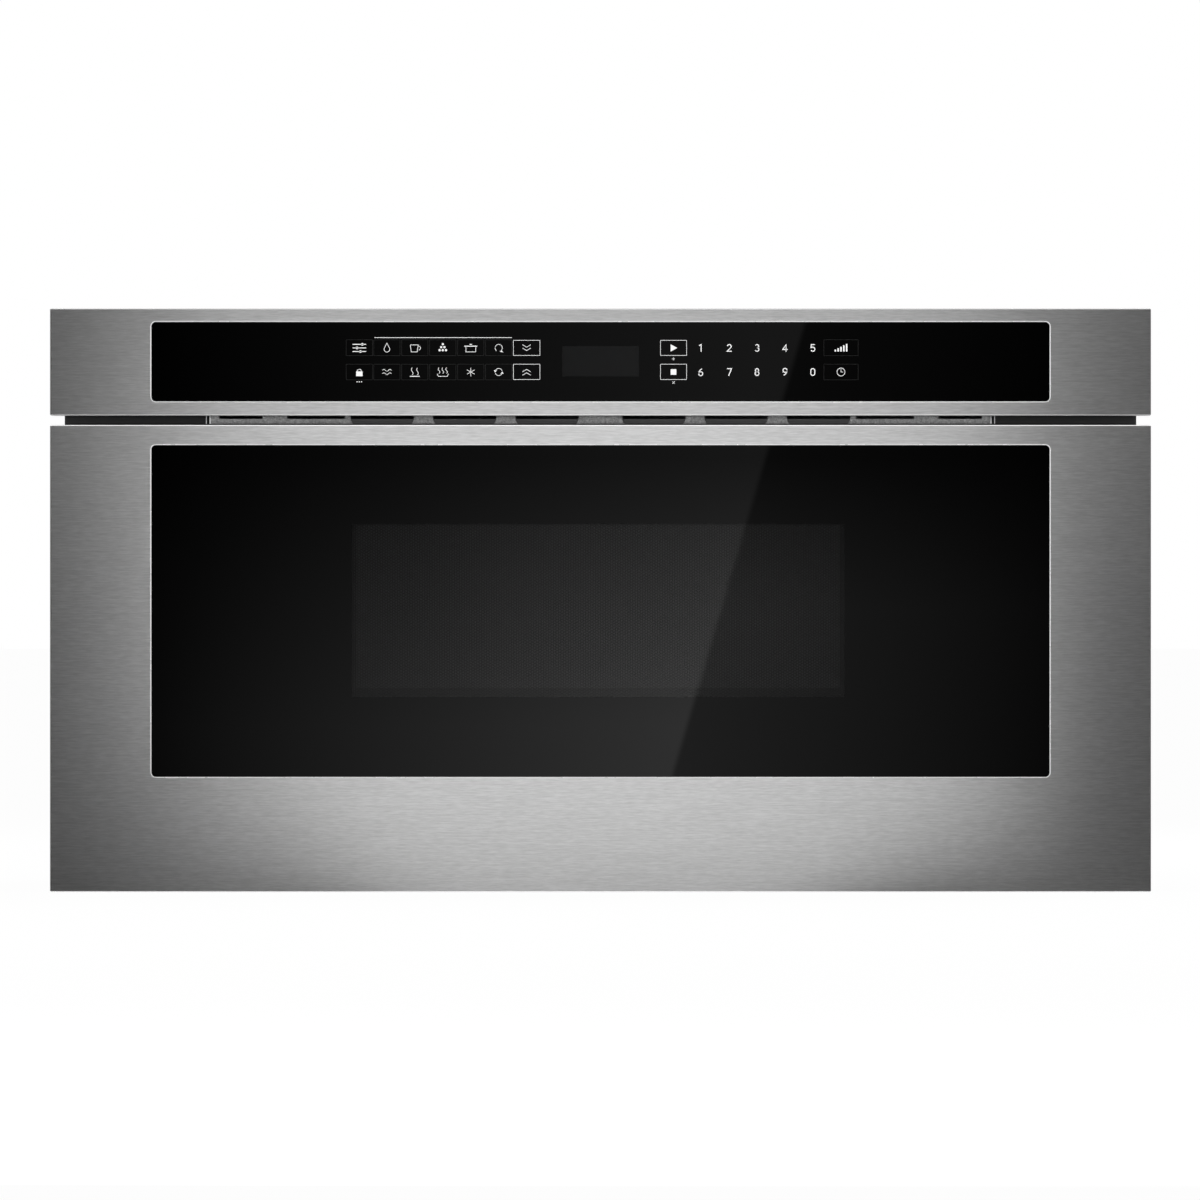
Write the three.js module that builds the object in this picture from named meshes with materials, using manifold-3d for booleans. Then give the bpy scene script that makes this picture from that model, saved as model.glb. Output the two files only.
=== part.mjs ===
// Built-in microwave oven drawer, modelled as an assembly of separate pieces.
// Millimetres, +X right, +Y into the cabinet, +Z up. The origin is on the underside of the
// base plate, at the middle of its width and in the plane of the cabinet's front face.

import * as THREE from "three";
import { mergeVertices } from "three/addons/utils/BufferGeometryUtils.js";
import Module from "manifold-3d";

const wasm = await Module();
wasm.setup();

// ---------------------------------------------------------------- driving dimensions

// Fits
const SEAT_GAP = 0.3; // between two pieces that seat on each other
const RUNNING_GAP = 0.15; // between a shaft or ball and the face it runs on
const SEAL_GAP = 0.5; // between the closed drawer's choke cover and the oven's front plate
const CUT_PAST = 5; // a cutting tool runs this far past the faces it cuts
const SINK = 1; // a joined shape starts this far inside the one that carries it

// Sheet and glass
const SHEET = 1; // body panels and oven walls
const BASE_SHEET = 1.2;
const BASE_FROM_DOOR = 2; // base plate's front edge to the door's back
const SKIN = 1.2; // brushed outer skins
const FRAME_SHEET = 1.5; // mounting frame
const FRAME_RELIEF = 0.2; // only the frame's border bears on the cabinet
const MOULDING_WALL = 2.5; // carrier and door frame
const DRAWER_GLASS_THICKNESS = 4;
const CONTROL_GLASS_THICKNESS = 3;
const GLASS_RECESS = 0.4; // glass behind the skin's front surface

// Food bin and the room round it
const BIN_WIDTH = 440; // inside
const BIN_DEPTH = 410; // inside
const BIN_WALL_HEIGHT = 150; // above the tray
const BIN_WALL = 4;
const BIN_FLOOR = 3;
const BIN_RIM = 6; // rim past the wall
const BIN_RIM_THICKNESS = 3;
const BIN_GLIDE_HEIGHT = 4;
const BIN_GLIDE_WIDTH = 10;
const BIN_GLIDE_INSET = 44; // glide's centre from the bin's outside
const BIN_GLIDE_ENDS = [10, 5]; // from the cabinet's face, and from the bin's rear wall
const BIN_SIDE_CLEARANCE = 4; // rim to oven wall
const BIN_REAR_CLEARANCE = 12;
const TRAY_THICKNESS = 4;
const HEADROOM = 178; // tray to oven ceiling

// Bays round the oven
const UNDER_BAY = 80;
const TOP_BAY = 96.2;
const SIDE_BAY = 118;
const REAR_BAY = 126;

// Front
const DOOR_THICKNESS = 34;
const DOOR_STANDOFF = 6; // door's back to the cabinet's face
const CHOKE_COVER_THICKNESS = 1.7;
const FRAME_SIDE_LAP = 17; // frame past the case
const FRAME_TOP_LAP = 14;
const FRONT_SIDE_LAP = 9; // front past the frame
const FRONT_TOP_LAP = 6;
const FRONT_BELOW_BASE = 13;
const CONTROL_PANEL_HEIGHT = 74;
const VENT_GAP = 6.5; // control panel to drawer front
const GLASS_SIDE_BORDER = 70; // steel at each side of the glass
const DRAWER_GLASS_TOP_BORDER = 14;
const DRAWER_GLASS_BOTTOM_BORDER = 79.5;
const CONTROL_GLASS_TOP_BORDER = 9.5;
const CONTROL_GLASS_BOTTOM_BORDER = 9.7;
const GLASS_CORNER = 3;
const WINDOW_WIDTH = 340;
const WINDOW_HEIGHT = 119;
const WINDOW_ABOVE_MIDDLE = 4.5; // window's centre over the oven's
const WINDOW_SEAT = 2.7; // ledge round the window for the screen and the inner glass
const SCREEN_THICKNESS = 0.6;
const DISPLAY_WIDTH = 53;
const DISPLAY_HEIGHT = 21;
const DISPLAY_BELOW_TOP = 26; // panel's top edge to the display's top
const BOARD_THICKNESS = 1.6;
const BOARD_WIDTH = 560;
const BOARD_HEIGHT = 48;
const BOARD_PART_SIZE = [34, 7, 22];
const BOARD_PART_PLACES = [-200, -90, 60, 190];
const CARRIER_RIB = 20; // frame's opening to the rib that seats the control panel on the frame

// Oven's front plate, choke and grille
const SEAL_WIDTH = 24; // choke past the oven's mouth
const CHOKE_DEPTH = 18;
const PLATE_TOP_MARGIN = 4; // front plate past the choke
const PLATE_SIDE_MARGIN = 11.5;
const PLATE_REVEAL = 2.8; // dark line between plate and frame
const PLATE_TAB = 4; // tab that laps behind the frame
const GRILLE_ABOVE_GAP = 24;
const VENT_SLOT_WIDTH = 44;
const VENT_SLOT_HEIGHT = 22;
const VENT_SLOT_CORNER = 6;
const VENT_SLOT_LOW = 0.5; // slot's lower edge below the drawer's top edge
const VENT_SLOT_PITCH = 57;
const VENT_SLOT_FIRST = 37; // centre line to the first slot's centre
const VENT_SLOTS_PER_SIDE = 3;
const SIDE_SLOTS = [
  [177, 217],
  [234, 264],
]; // from the centre line, each side
const SIDE_SLOT_RISE = 5; // their lower edge above the main slots'

// Drawer travel and slides
const DRAWER_TRAVEL = 380;
const SLIDE_HEIGHT = 45;
const SLIDE_WIDTH = 12.7;
const SLIDE_SHEET = 1.2;
const SLIDE_LENGTH = 425;
const SLIDE_START = 3; // behind the cabinet's face
const SLIDE_CENTRE_Z = 110;
const SLIDE_LIP = 2.5;
const BALL_RADIUS = 1.5;
const BALL_SINK = 0.05;
const BALLS_PER_ROW = 5;
const BALL_ROW_INSET = 30;
const MIDDLE_FROM_LIP = 0.7; // middle member's flange to the outer member's lip
const MIDDLE_FROM_WEB = 2.1; // and its web to the outer member's
const INNER_FROM_MIDDLE = 1.5; // inner member's flange to the middle member's web
const ARM_OFFSET = 7.2; // frame's opening to the drawer arm
const ARM_SHEET = 2;
const ARM_HEIGHT = 30;
const ARM_LENGTH = 400;
const ARM_FLANGE = 1.8;
const ARM_FLANGE_INNER = 17.5; // flange towards the middle
const LATCH_REACH = 18; // tongue's end behind the cabinet's face
const LATCH_OFFSET = 28.5; // arm to tongue
const LATCH_THICKNESS = 4;
const LATCH_HEIGHT = 12;
const SLOT_CLEARANCE = 1.5; // round whatever passes the frame
const BRACKET_SHEET = 2;
const BRACKET_FOOT = 25;
const BRACKET_ABOVE_SLIDE = 3;

// Drive
const PINION_TEETH = 16;
const PINION_MODULE = 1.5;
const GEAR_TEETH = 45;
const MOTOR_TEETH = 15;
const GEAR_MODULE = 1;
const TOOTH_ADDENDUM = 0.8; // in modules
const TOOTH_DEDENDUM = 1.15;
const BACKLASH = 0.25;
const PRESSURE_ANGLE = THREE.MathUtils.degToRad(20);
const DRIVE_AXIS_Y = 34;
const DRIVE_AXIS_Z = 28;
const RACK_WIDTH = 12;
const RACK_HEIGHT = 8; // pitch line to the rack's top
const RACK_OVERRUN = 16;
const PINION_WIDTH = 10;
const GEAR_WIDTH = 7;
const GEAR_TO_PINION = 10;
const SHAFT_RADIUS = 3;
const DRIVE_PLATE = 2;
const DRIVE_PLATE_CLEARANCE = 4;
const DRIVE_MOTOR_RADIUS = 18;
const DRIVE_MOTOR_LENGTH = 56;
const DRIVE_MOTOR_BOSS = [6, 4]; // radius, length
const DRIVE_MOTOR_BORE_END = 15; // from the motor's rear
const DRIVE_SHAFT_END = 20; // from the motor's rear
const DRIVE_SHAFT_PAST = 3; // shaft past the motor's pinion
const DRIVE_SHAFT_OUT = 1; // gear's shaft past the bracket
const DRIVE_SLEEVE_WALL = 2.5;
const DRIVE_CHEEK_FRONT = 20; // gear's axis to the bracket's front
const DRIVE_CHEEK_DEPTH = 34;
const DRIVE_CHEEK_TOPS = [20, 10]; // left and right, over the gear's axis
const DRIVE_MOTOR_HOLE = 2; // round the motor's shaft

// Stirrer, waveguide and magnetron
const STIRRER_CENTRE_Y = 235;
const STIRRER_OPENING_RADIUS = 95;
const STIRRER_RADIUS = 82;
const STIRRER_SHEET = 1;
const STIRRER_RISE = 6; // ceiling plate to blade
const DOME_HEIGHT = 15.7;
const DOME_FLANGE = 12;
const WAVEGUIDE_HEIGHT = 30;
const WAVEGUIDE_WIDTH = 90;
const WAVEGUIDE_END = 45;
const STIRRER_MOTOR_RADIUS = 25;
const STIRRER_MOTOR_HEIGHT = 20;
const STIRRER_SHAFT_DEPTH = 12; // into its motor
const STIRRER_HUB_RADIUS = 8;
const STIRRER_HUB_REACH = [2, 4]; // below and above the blade's underside
const STIRRER_WINDOW_SPAN = [24.6, 65.6]; // from the axis
const STIRRER_WINDOW_WIDTH = 44;
const STIRRER_SLOT_WIDTH = 24;
const STIRRER_MOTOR_EARS = [10, 14, 2]; // past the can, width, sheet
const DOME_WALL_PAST = 2; // dome's wall past the ceiling's opening
const FEED_PORT_RADIUS = 20; // from the waveguide down into the dome
const COVER_INSET = 0.1; // in the ceiling's thickness
const ROUND = 32; // sides of a wide circle
const MAGNETRON_FROM_OVEN = 65; // oven's wall to its centre
const MAGNETRON_SIZE = [92, 78, 58];
const MAGNETRON_FILTER = [62, 60, 36];
const MAGNETRON_FINS = 6;
const FIN_THICKNESS = 1;
const FIN_SETBACK = 4; // behind the yoke's edges
const YOKE_SHEET = 2;
const MAGNETRON_CORE_RADIUS = 20;
const ANTENNA_RADIUS = 9;
const ANTENNA_HEIGHT = 20;
const ANTENNA_CLEARANCE = 2;

// Exhaust, fan and electrics
const EXHAUST_DEPTH = 118;
const EXHAUST_HEIGHT = 40;
const FAN_FROM_OVEN = 59; // oven's wall to the fan's axis
const FAN_Z = 240;
const FAN_RADIUS = 46;
const FAN_TIP_CLEARANCE = 4;
const FAN_BLADES = 5;
const FAN_HUB_RADIUS = 12;
const FAN_DEPTH = 18;
const FAN_BEHIND_OVEN = 10;
const FAN_PLATE = 1.5;
const FAN_PLATE_MARGIN = 58; // centre to the plate's side edge
const FAN_PLATE_HEIGHT = 180;
const FAN_POST = 5;
const FAN_CROSS = 2; // bar across the posts
const FAN_EYE_RADIUS = 8;
const FAN_TO_PLATE = 2;
const FAN_TO_MOTOR = 12;
const FAN_BLADE_CHORD = 24;
const FAN_BLADE_SHEET = 1.6;
const FAN_BLADE_PITCH = THREE.MathUtils.degToRad(38);
const FAN_BLADE_ROOT = 3; // inside the hub
const FAN_MOTOR_SIZE = [64, 36, 54];
const FAN_MOTOR_CORE = [4, 8]; // from its front and its rear
const FAN_MOTOR_COIL = [6, 22]; // past the core, width
const FAN_BEARING_RADIUS = 14;
const FAN_SHAFT_IN_MOTOR = 24;
const TRANSFORMER_SIZE = [96, 64, 82];
const TRANSFORMER_COIL = [18, 14, 22, 16]; // inset at the sides, past the core, above the foot, below the top
const TRANSFORMER_FOOT = [6, 6, 7]; // past the core's sides, inside its front, height
const TRANSFORMER_FROM_SIDE = 154; // case's left side to its centre
const CAPACITOR_SIZE = [100, 32, 52];
const CAPACITOR_CORNER = 25.5;
const CAPACITOR_TABS = [14, 12, 6, 1.5]; // from the middle, length, width, sheet
const CAPACITOR_FROM_TRANSFORMER = 160; // centre to centre
const REAR_ROW_SETBACK = 64; // rear panel to the centre line of the transformer and capacitor
const POWER_BOARD_SIZE = [150, 110]; // depth, height
const POWER_BOARD_Y = 250;
const POWER_BOARD_Z = 220;
const POWER_BOARD_STANDOFF = 6;
const POST_RADIUS = 3;
const POST_INSET = 8;
const RELAY_SIZE = [20, 22, 28];
const RELAY_PITCH = 38;
const RELAY_ABOVE = 22;
const LINE_CHOKE_SIZE = [18, 34, 26];
const LINE_CHOKE_PLACE = [-30, -30]; // Y, Z
const LAMP_Y = 80;
const LAMP_Z = 220;
const LAMP_SIZE = [30, 36, 36];
const LAMP_WALL = 2;
const BULB_RADIUS = 9;
const BULB_BACK = 6; // bulb's end to the oven's wall
const LAMP_HOLE_RADIUS = 2;
const LAMP_HOLE_PITCH = 8;
const SWITCH_SIZE = [18, 24, 24];
const PLUNGER_RADIUS = 1.5;
const PLUNGER_LENGTH = 1.6;
const GLAND_FROM_SIDE = 54;
const GLAND_Z = 60;
const GLAND_RADIUS = 9;
const GLAND_LENGTH = 16;
const GLAND_FLANGE = 2.5;
const GLAND_FLANGE_REACH = 3;
const GLAND_BORE_RADIUS = 4.5;
const REAR_SLOTS = 9;
const REAR_SLOT_WIDTH = 5;
const REAR_SLOT_HEIGHT = 70;
const REAR_SLOT_PITCH = 11;
const FOLD = 12; // stiffening folds on the body panels
const SCREW_HOLE_RADIUS = 2.5;
const SCREW_HOLE_Z = [60, 330];

// ---------------------------------------------------------------- places worked out from them

const binOuter = BIN_WIDTH / 2 + BIN_WALL;
const ovenHalf = binOuter + BIN_RIM + BIN_SIDE_CLEARANCE;
const ovenOuter = ovenHalf + SHEET;
const caseHalf = ovenOuter + SIDE_BAY + SHEET;
const frameHalf = caseHalf + FRAME_SIDE_LAP;
const frontHalf = frameHalf + FRONT_SIDE_LAP;
const glassHalf = frontHalf - GLASS_SIDE_BORDER;

const ovenFloor = BASE_SHEET + UNDER_BAY + SHEET;
const binBottom = ovenFloor + SEAT_GAP + BIN_GLIDE_HEIGHT;
const trayBottom = binBottom + BIN_FLOOR + SEAT_GAP;
const trayTop = trayBottom + TRAY_THICKNESS;
const binTop = trayTop + BIN_WALL_HEIGHT;
const ovenCeiling = trayTop + HEADROOM;
const caseTop = ovenCeiling + SHEET + TOP_BAY + SHEET;
const frameTop = caseTop + FRAME_TOP_LAP;
const frontTop = frameTop + FRONT_TOP_LAP;
const frontBottom = -FRONT_BELOW_BASE;
const controlBottom = frontTop - CONTROL_PANEL_HEIGHT;
const drawerTop = controlBottom - VENT_GAP;
const bodyBottom = BASE_SHEET + SEAT_GAP;
const behindFrame = SEAT_GAP - FRAME_RELIEF;

const ovenRear = BIN_DEPTH + BIN_WALL + BIN_REAR_CLEARANCE;
const caseRear = ovenRear + SHEET + REAR_BAY + SHEET;
const doorBack = -DOOR_STANDOFF;
const frontFace = doorBack - DOOR_THICKNESS;
const chokeCoverBack = doorBack + SEAT_GAP + CHOKE_COVER_THICKNESS;
const plateFace = chokeCoverBack + SEAL_GAP;
const plateBack = plateFace + BASE_SHEET;
const ovenFront = plateBack + SEAT_GAP;
const baseFront = doorBack + BASE_FROM_DOOR;

const windowZ = (ovenFloor + ovenCeiling) / 2 + WINDOW_ABOVE_MIDDLE;
const chokeHalf = ovenHalf + SEAL_WIDTH;
const chokeBottom = ovenFloor - SEAL_WIDTH;
const chokeTop = ovenCeiling + SEAL_WIDTH;
const plateHalf = chokeHalf + PLATE_SIDE_MARGIN;
const plateBottom = chokeBottom - PLATE_TOP_MARGIN;
const plateTop = chokeTop + PLATE_TOP_MARGIN;
const openingHalf = plateHalf + PLATE_REVEAL;
const grilleTop = controlBottom + GRILLE_ABOVE_GAP;

const armInner = openingHalf + ARM_OFFSET;
const armOuter = armInner + ARM_SHEET;
const slideInner = armOuter + SEAT_GAP;
const slideOuter = slideInner + SLIDE_WIDTH;
const bracketInner = slideOuter + SEAT_GAP;
const bracketOuter = bracketInner + BRACKET_SHEET;
const latchInner = armInner + LATCH_OFFSET;
const latchOuter = latchInner + LATCH_THICKNESS;

const pinionRadius = (PINION_TEETH * PINION_MODULE) / 2;
const gearRadius = (GEAR_TEETH * GEAR_MODULE) / 2;
const motorPinionRadius = (MOTOR_TEETH * GEAR_MODULE) / 2;
const motorAxisY = DRIVE_AXIS_Y + gearRadius + motorPinionRadius;
const rackLine = DRIVE_AXIS_Z + pinionRadius;
const rackTop = rackLine + RACK_HEIGHT;
const rackRear = DRIVE_AXIS_Y + DRAWER_TRAVEL + RACK_OVERRUN;
const gearRight = -PINION_WIDTH / 2 - GEAR_TO_PINION;
const gearLeft = gearRight - GEAR_WIDTH;
const driveLeft = gearLeft - DRIVE_PLATE_CLEARANCE - DRIVE_PLATE;
const driveRight = RACK_WIDTH / 2 + DRIVE_PLATE_CLEARANCE;

const domeBottom = ovenCeiling + SHEET + SEAT_GAP;
const domeTop = domeBottom + DOME_HEIGHT;
const waveguideBottom = domeTop + SEAT_GAP;
const waveguideTop = waveguideBottom + WAVEGUIDE_HEIGHT;
const magnetronTop = waveguideBottom - SEAT_GAP;
const magnetronX = ovenOuter + MAGNETRON_FROM_OVEN;
const fanX = ovenOuter + FAN_FROM_OVEN;
const transformerX = -caseHalf + TRANSFORMER_FROM_SIDE;
const capacitorX = transformerX + CAPACITOR_FROM_TRANSFORMER;
const glandX = -caseHalf + GLAND_FROM_SIDE;

// ---------------------------------------------------------------- finishes

function finish(color, roughness, metalness, opacity = 1) {
  return new THREE.MeshStandardMaterial({
    color,
    roughness,
    metalness,
    opacity,
    transparent: opacity < 1,
  });
}

const brushedSteel = finish(0xb4b4b4, 0.35, 1);
const zincSteel = finish(0x9a9c9e, 0.45, 1);
const blackPaint = finish(0x1a1a1a, 0.5, 0);
const greyEnamel = finish(0x7c7c7c, 0.55, 0);
const blackGlass = finish(0x050505, 0.05, 0);
const clearGlass = finish(0x303434, 0.05, 0, 0.4);
const blackPlastic = finish(0x161616, 0.6, 0);
const greyPlastic = finish(0x5e6062, 0.55, 0);
const ceramic = finish(0xd8d6d0, 0.3, 0);
const whitePlastic = finish(0xdedcd4, 0.5, 0);
const mica = finish(0xb9ad94, 0.6, 0);
const boardGreen = finish(0x1d4a2c, 0.5, 0);
const darkDisplay = finish(0x141618, 0.15, 0);
const rubber = finish(0x111111, 0.8, 0);
const aluminium = finish(0xb8babc, 0.4, 1);
const copperCoil = finish(0x8a4a24, 0.4, 0.6);

// ---------------------------------------------------------------- solid tools

// A closed three.js geometry as a solid that can be cut and joined.
function solid(geometry) {
  const plain = geometry.index ? geometry.toNonIndexed() : geometry.clone();
  plain.deleteAttribute("normal");
  plain.deleteAttribute("uv");
  const merged = mergeVertices(plain, 1e-4);
  return new wasm.Manifold(
    new wasm.Mesh({
      numProp: 3,
      vertProperties: merged.attributes.position.array,
      triVerts: new Uint32Array(merged.index.array),
    }),
  );
}

// The solid's surface as a three.js geometry.
function geometryOf(body) {
  const mesh = body.getMesh();
  const geometry = new THREE.BufferGeometry();
  const positions = Float32Array.from(mesh.vertProperties);
  geometry.setAttribute("position", new THREE.BufferAttribute(positions, 3));
  geometry.setIndex(new THREE.BufferAttribute(Uint32Array.from(mesh.triVerts), 1));
  const faceted = geometry.toNonIndexed();
  faceted.computeVertexNormals();
  return faceted;
}

// A block between two limits on each axis.
function block(x0, x1, y0, y1, z0, z1) {
  const geometry = new THREE.BoxGeometry(x1 - x0, y1 - y0, z1 - z0);
  geometry.translate((x0 + x1) / 2, (y0 + y1) / 2, (z0 + z1) / 2);
  return solid(geometry);
}

// A block on one side of the drawer, its X limits counted from the middle outwards.
function sideBlock(side, near, far, y0, y1, z0, z1) {
  return block(Math.min(side * near, side * far), Math.max(side * near, side * far), y0, y1, z0, z1);
}

// A block round a centre.
function blockAt(cx, cy, cz, dx, dy, dz) {
  return block(cx - dx / 2, cx + dx / 2, cy - dy / 2, cy + dy / 2, cz - dz / 2, cz + dz / 2);
}

// A round bar along one axis, from `start` to `end` on it, through (a, b) on the other two.
function bar(axis, radius, start, end, a, b, sides = 16) {
  const geometry = new THREE.CylinderGeometry(radius, radius, end - start, sides);
  const middle = (start + end) / 2;
  if (axis === "x") {
    geometry.rotateZ(Math.PI / 2);
    geometry.translate(middle, a, b);
  } else if (axis === "y") {
    geometry.translate(a, middle, b);
  } else {
    geometry.rotateX(Math.PI / 2);
    geometry.translate(a, b, middle);
  }
  return solid(geometry);
}

// A round bar standing on the stirrer's axis.
function upBar(radius, low, high, sides = 16) {
  return bar("z", radius, low, high, 0, STIRRER_CENTRE_Y, sides);
}

function join(...bodies) {
  return bodies.reduce((whole, next) => whole.add(next));
}

function cut(body, ...tools) {
  return tools.reduce((left, tool) => left.subtract(tool), body);
}

// A rectangle with round corners, as a three.js Shape.
function roundRect(x0, x1, z0, z1, r) {
  const shape = new THREE.Shape();
  shape.absarc(x1 - r, z0 + r, r, -Math.PI / 2, 0, false);
  shape.absarc(x1 - r, z1 - r, r, 0, Math.PI / 2, false);
  shape.absarc(x0 + r, z1 - r, r, Math.PI / 2, Math.PI, false);
  shape.absarc(x0 + r, z0 + r, r, Math.PI, 1.5 * Math.PI, false);
  shape.closePath();
  return shape;
}

// A shape drawn in X and Z as a plate from y0 to y1.
function upright(shape, y0, y1) {
  const geometry = new THREE.ExtrudeGeometry(shape, {
    depth: y1 - y0,
    bevelEnabled: false,
    curveSegments: 3,
  });
  geometry.rotateX(Math.PI / 2);
  geometry.translate(0, y1, 0);
  return solid(geometry);
}

const drawer = new THREE.Group();
const body = new THREE.Group();
const slides = new THREE.Group();
const drive = new THREE.Group();

function add(group, name, material, shape, position = [0, 0, 0]) {
  const mesh = new THREE.Mesh(geometryOf(shape), material);
  mesh.name = name;
  mesh.position.set(...position);
  group.add(mesh);
}

// ---------------------------------------------------------------- outer body

function basePlate() {
  return block(-caseHalf, caseHalf, baseFront, caseRear, 0, BASE_SHEET);
}

function sidePanel(side) {
  const inner = caseHalf - SHEET;
  const high = caseTop - SHEET - SEAT_GAP;
  return join(
    sideBlock(side, inner, caseHalf, behindFrame, caseRear, bodyBottom, high),
    sideBlock(side, inner - FOLD, caseHalf, behindFrame, caseRear, bodyBottom, bodyBottom + SHEET),
  );
}

function topCover() {
  const half = caseHalf - SHEET - SEAT_GAP;
  const plate = block(-caseHalf, caseHalf, behindFrame, caseRear, caseTop - SHEET, caseTop);
  return plate.add(block(-half, half, behindFrame, behindFrame + SHEET, caseTop - FOLD, caseTop));
}

function rearPanel() {
  const half = caseHalf - SHEET - SEAT_GAP;
  const low = bodyBottom + SHEET + SEAT_GAP;
  const high = caseTop - SHEET - SEAT_GAP;
  const panel = block(-half, half, caseRear - SHEET, caseRear, low, high);
  const slots = [];
  for (let i = 0; i < REAR_SLOTS; i++) {
    const x = fanX + (i - (REAR_SLOTS - 1) / 2) * REAR_SLOT_PITCH;
    slots.push(blockAt(x, caseRear, FAN_Z, REAR_SLOT_WIDTH, CUT_PAST, REAR_SLOT_HEIGHT));
  }
  const holeRadius = GLAND_RADIUS + SEAT_GAP;
  const cordHole = bar("y", holeRadius, caseRear - CUT_PAST, caseRear + CUT_PAST, glandX, GLAND_Z);
  return cut(panel, cordHole, ...slots);
}

// Black frame that laps the cabinet's front face and takes the fixing screws.
function mountingFrame() {
  const plate = block(-frameHalf, frameHalf, -FRAME_SHEET, 0, bodyBottom, frameTop);
  const behindHalf = caseHalf + SEAT_GAP;
  const relief = block(-behindHalf, behindHalf, -FRAME_RELIEF, CUT_PAST, -CUT_PAST, caseTop + SEAT_GAP);
  const bottom = plateBottom - PLATE_REVEAL;
  const top = grilleTop + PLATE_REVEAL;
  const mouth = block(-openingHalf, openingHalf, -CUT_PAST, CUT_PAST, bottom, top);
  const toothDrop = TOOTH_ADDENDUM * PINION_MODULE + SLOT_CLEARANCE;
  const rackSlot = block(
    -RACK_WIDTH / 2 - SLOT_CLEARANCE,
    RACK_WIDTH / 2 + SLOT_CLEARANCE,
    -CUT_PAST,
    CUT_PAST,
    rackLine - toothDrop,
    rackTop + SLOT_CLEARANCE,
  );
  const tools = [relief, mouth, rackSlot];
  for (const side of [-1, 1]) {
    const reach = SLIDE_HEIGHT / 2 + SLOT_CLEARANCE;
    tools.push(
      sideBlock(
        side,
        armInner - SLOT_CLEARANCE,
        slideOuter + SLOT_CLEARANCE,
        -CUT_PAST,
        CUT_PAST,
        SLIDE_CENTRE_Z - reach,
        SLIDE_CENTRE_Z + reach,
      ),
      sideBlock(
        side,
        latchInner - SLOT_CLEARANCE,
        latchOuter + SLOT_CLEARANCE,
        -CUT_PAST,
        CUT_PAST,
        SLIDE_CENTRE_Z - LATCH_HEIGHT / 2 - SLOT_CLEARANCE,
        SLIDE_CENTRE_Z + LATCH_HEIGHT / 2 + SLOT_CLEARANCE,
      ),
    );
    for (const z of SCREW_HOLE_Z) {
      const x = side * (caseHalf + FRAME_SIDE_LAP / 2);
      tools.push(bar("y", SCREW_HOLE_RADIUS, -CUT_PAST, CUT_PAST, x, z, 12));
    }
  }
  return cut(plate, ...tools);
}

add(body, "base_plate", zincSteel, basePlate());
add(body, "left_side_panel", zincSteel, sidePanel(-1));
add(body, "right_side_panel", zincSteel, sidePanel(1));
add(body, "top_cover", zincSteel, topCover());
add(body, "rear_panel", zincSteel, rearPanel());
add(body, "mounting_frame", blackPaint, mountingFrame());

function cordGland() {
  const barrel = bar("y", GLAND_RADIUS, -GLAND_LENGTH / 2, GLAND_LENGTH / 2, 0, 0);
  const flange = bar("y", GLAND_RADIUS + GLAND_FLANGE_REACH, SEAT_GAP, SEAT_GAP + GLAND_FLANGE, 0, 0);
  const bore = bar("y", GLAND_BORE_RADIUS, -GLAND_LENGTH, GLAND_LENGTH, 0, 0);
  return cut(barrel.add(flange), bore);
}

add(body, "cord_gland", rubber, cordGland(), [glandX, caseRear, GLAND_Z]);

// ---------------------------------------------------------------- oven

function ovenSide(side) {
  const [low, high] = [ovenFloor - SHEET, ovenCeiling + SHEET];
  const wall = sideBlock(side, ovenHalf, ovenOuter, ovenFront, ovenRear + SHEET, low, high);
  if (side > 0) return wall;
  const holes = [];
  for (const i of [-1, 0, 1]) {
    for (const j of [-1, 0, 1]) {
      const y = LAMP_Y + i * LAMP_HOLE_PITCH;
      const z = LAMP_Z + j * LAMP_HOLE_PITCH;
      holes.push(bar("x", LAMP_HOLE_RADIUS, -ovenOuter - CUT_PAST, -ovenHalf + CUT_PAST, y, z, 8));
    }
  }
  return cut(wall, ...holes);
}

function ovenCeilingPlate() {
  const half = ovenHalf - SEAT_GAP;
  const plate = block(-half, half, ovenFront, ovenRear + SHEET, ovenCeiling, ovenCeiling + SHEET);
  return cut(plate, upBar(STIRRER_OPENING_RADIUS, ovenCeiling - CUT_PAST, ovenCeiling + CUT_PAST, ROUND));
}

function ovenFloorPlate() {
  const half = ovenHalf - SEAT_GAP;
  return block(-half, half, ovenFront, ovenRear + SHEET, ovenFloor - SHEET, ovenFloor);
}

function ovenRearWall() {
  const half = ovenHalf - SEAT_GAP;
  return block(-half, half, ovenRear, ovenRear + SHEET, ovenFloor + SEAT_GAP, ovenCeiling - SEAT_GAP);
}

// A plate in the frame's opening, with a fold and a tab at each side that laps behind the frame.
function tabbedPlate(low, high) {
  const parts = [block(-plateHalf, plateHalf, plateFace, plateBack, low, high)];
  const tabBack = behindFrame + SHEET;
  for (const side of [-1, 1]) {
    parts.push(
      sideBlock(side, plateHalf - SHEET, plateHalf, plateFace, tabBack, low, high),
      sideBlock(side, plateHalf - SHEET, openingHalf + PLATE_TAB, behindFrame, tabBack, low, high),
    );
  }
  return join(...parts);
}

// Flat face that the drawer's choke closes on.
function ovenFrontPlate() {
  const mouth = block(-ovenHalf, ovenHalf, -CUT_PAST, CUT_PAST, ovenFloor, ovenCeiling);
  return cut(tabbedPlate(plateBottom, plateTop), mouth);
}

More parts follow.
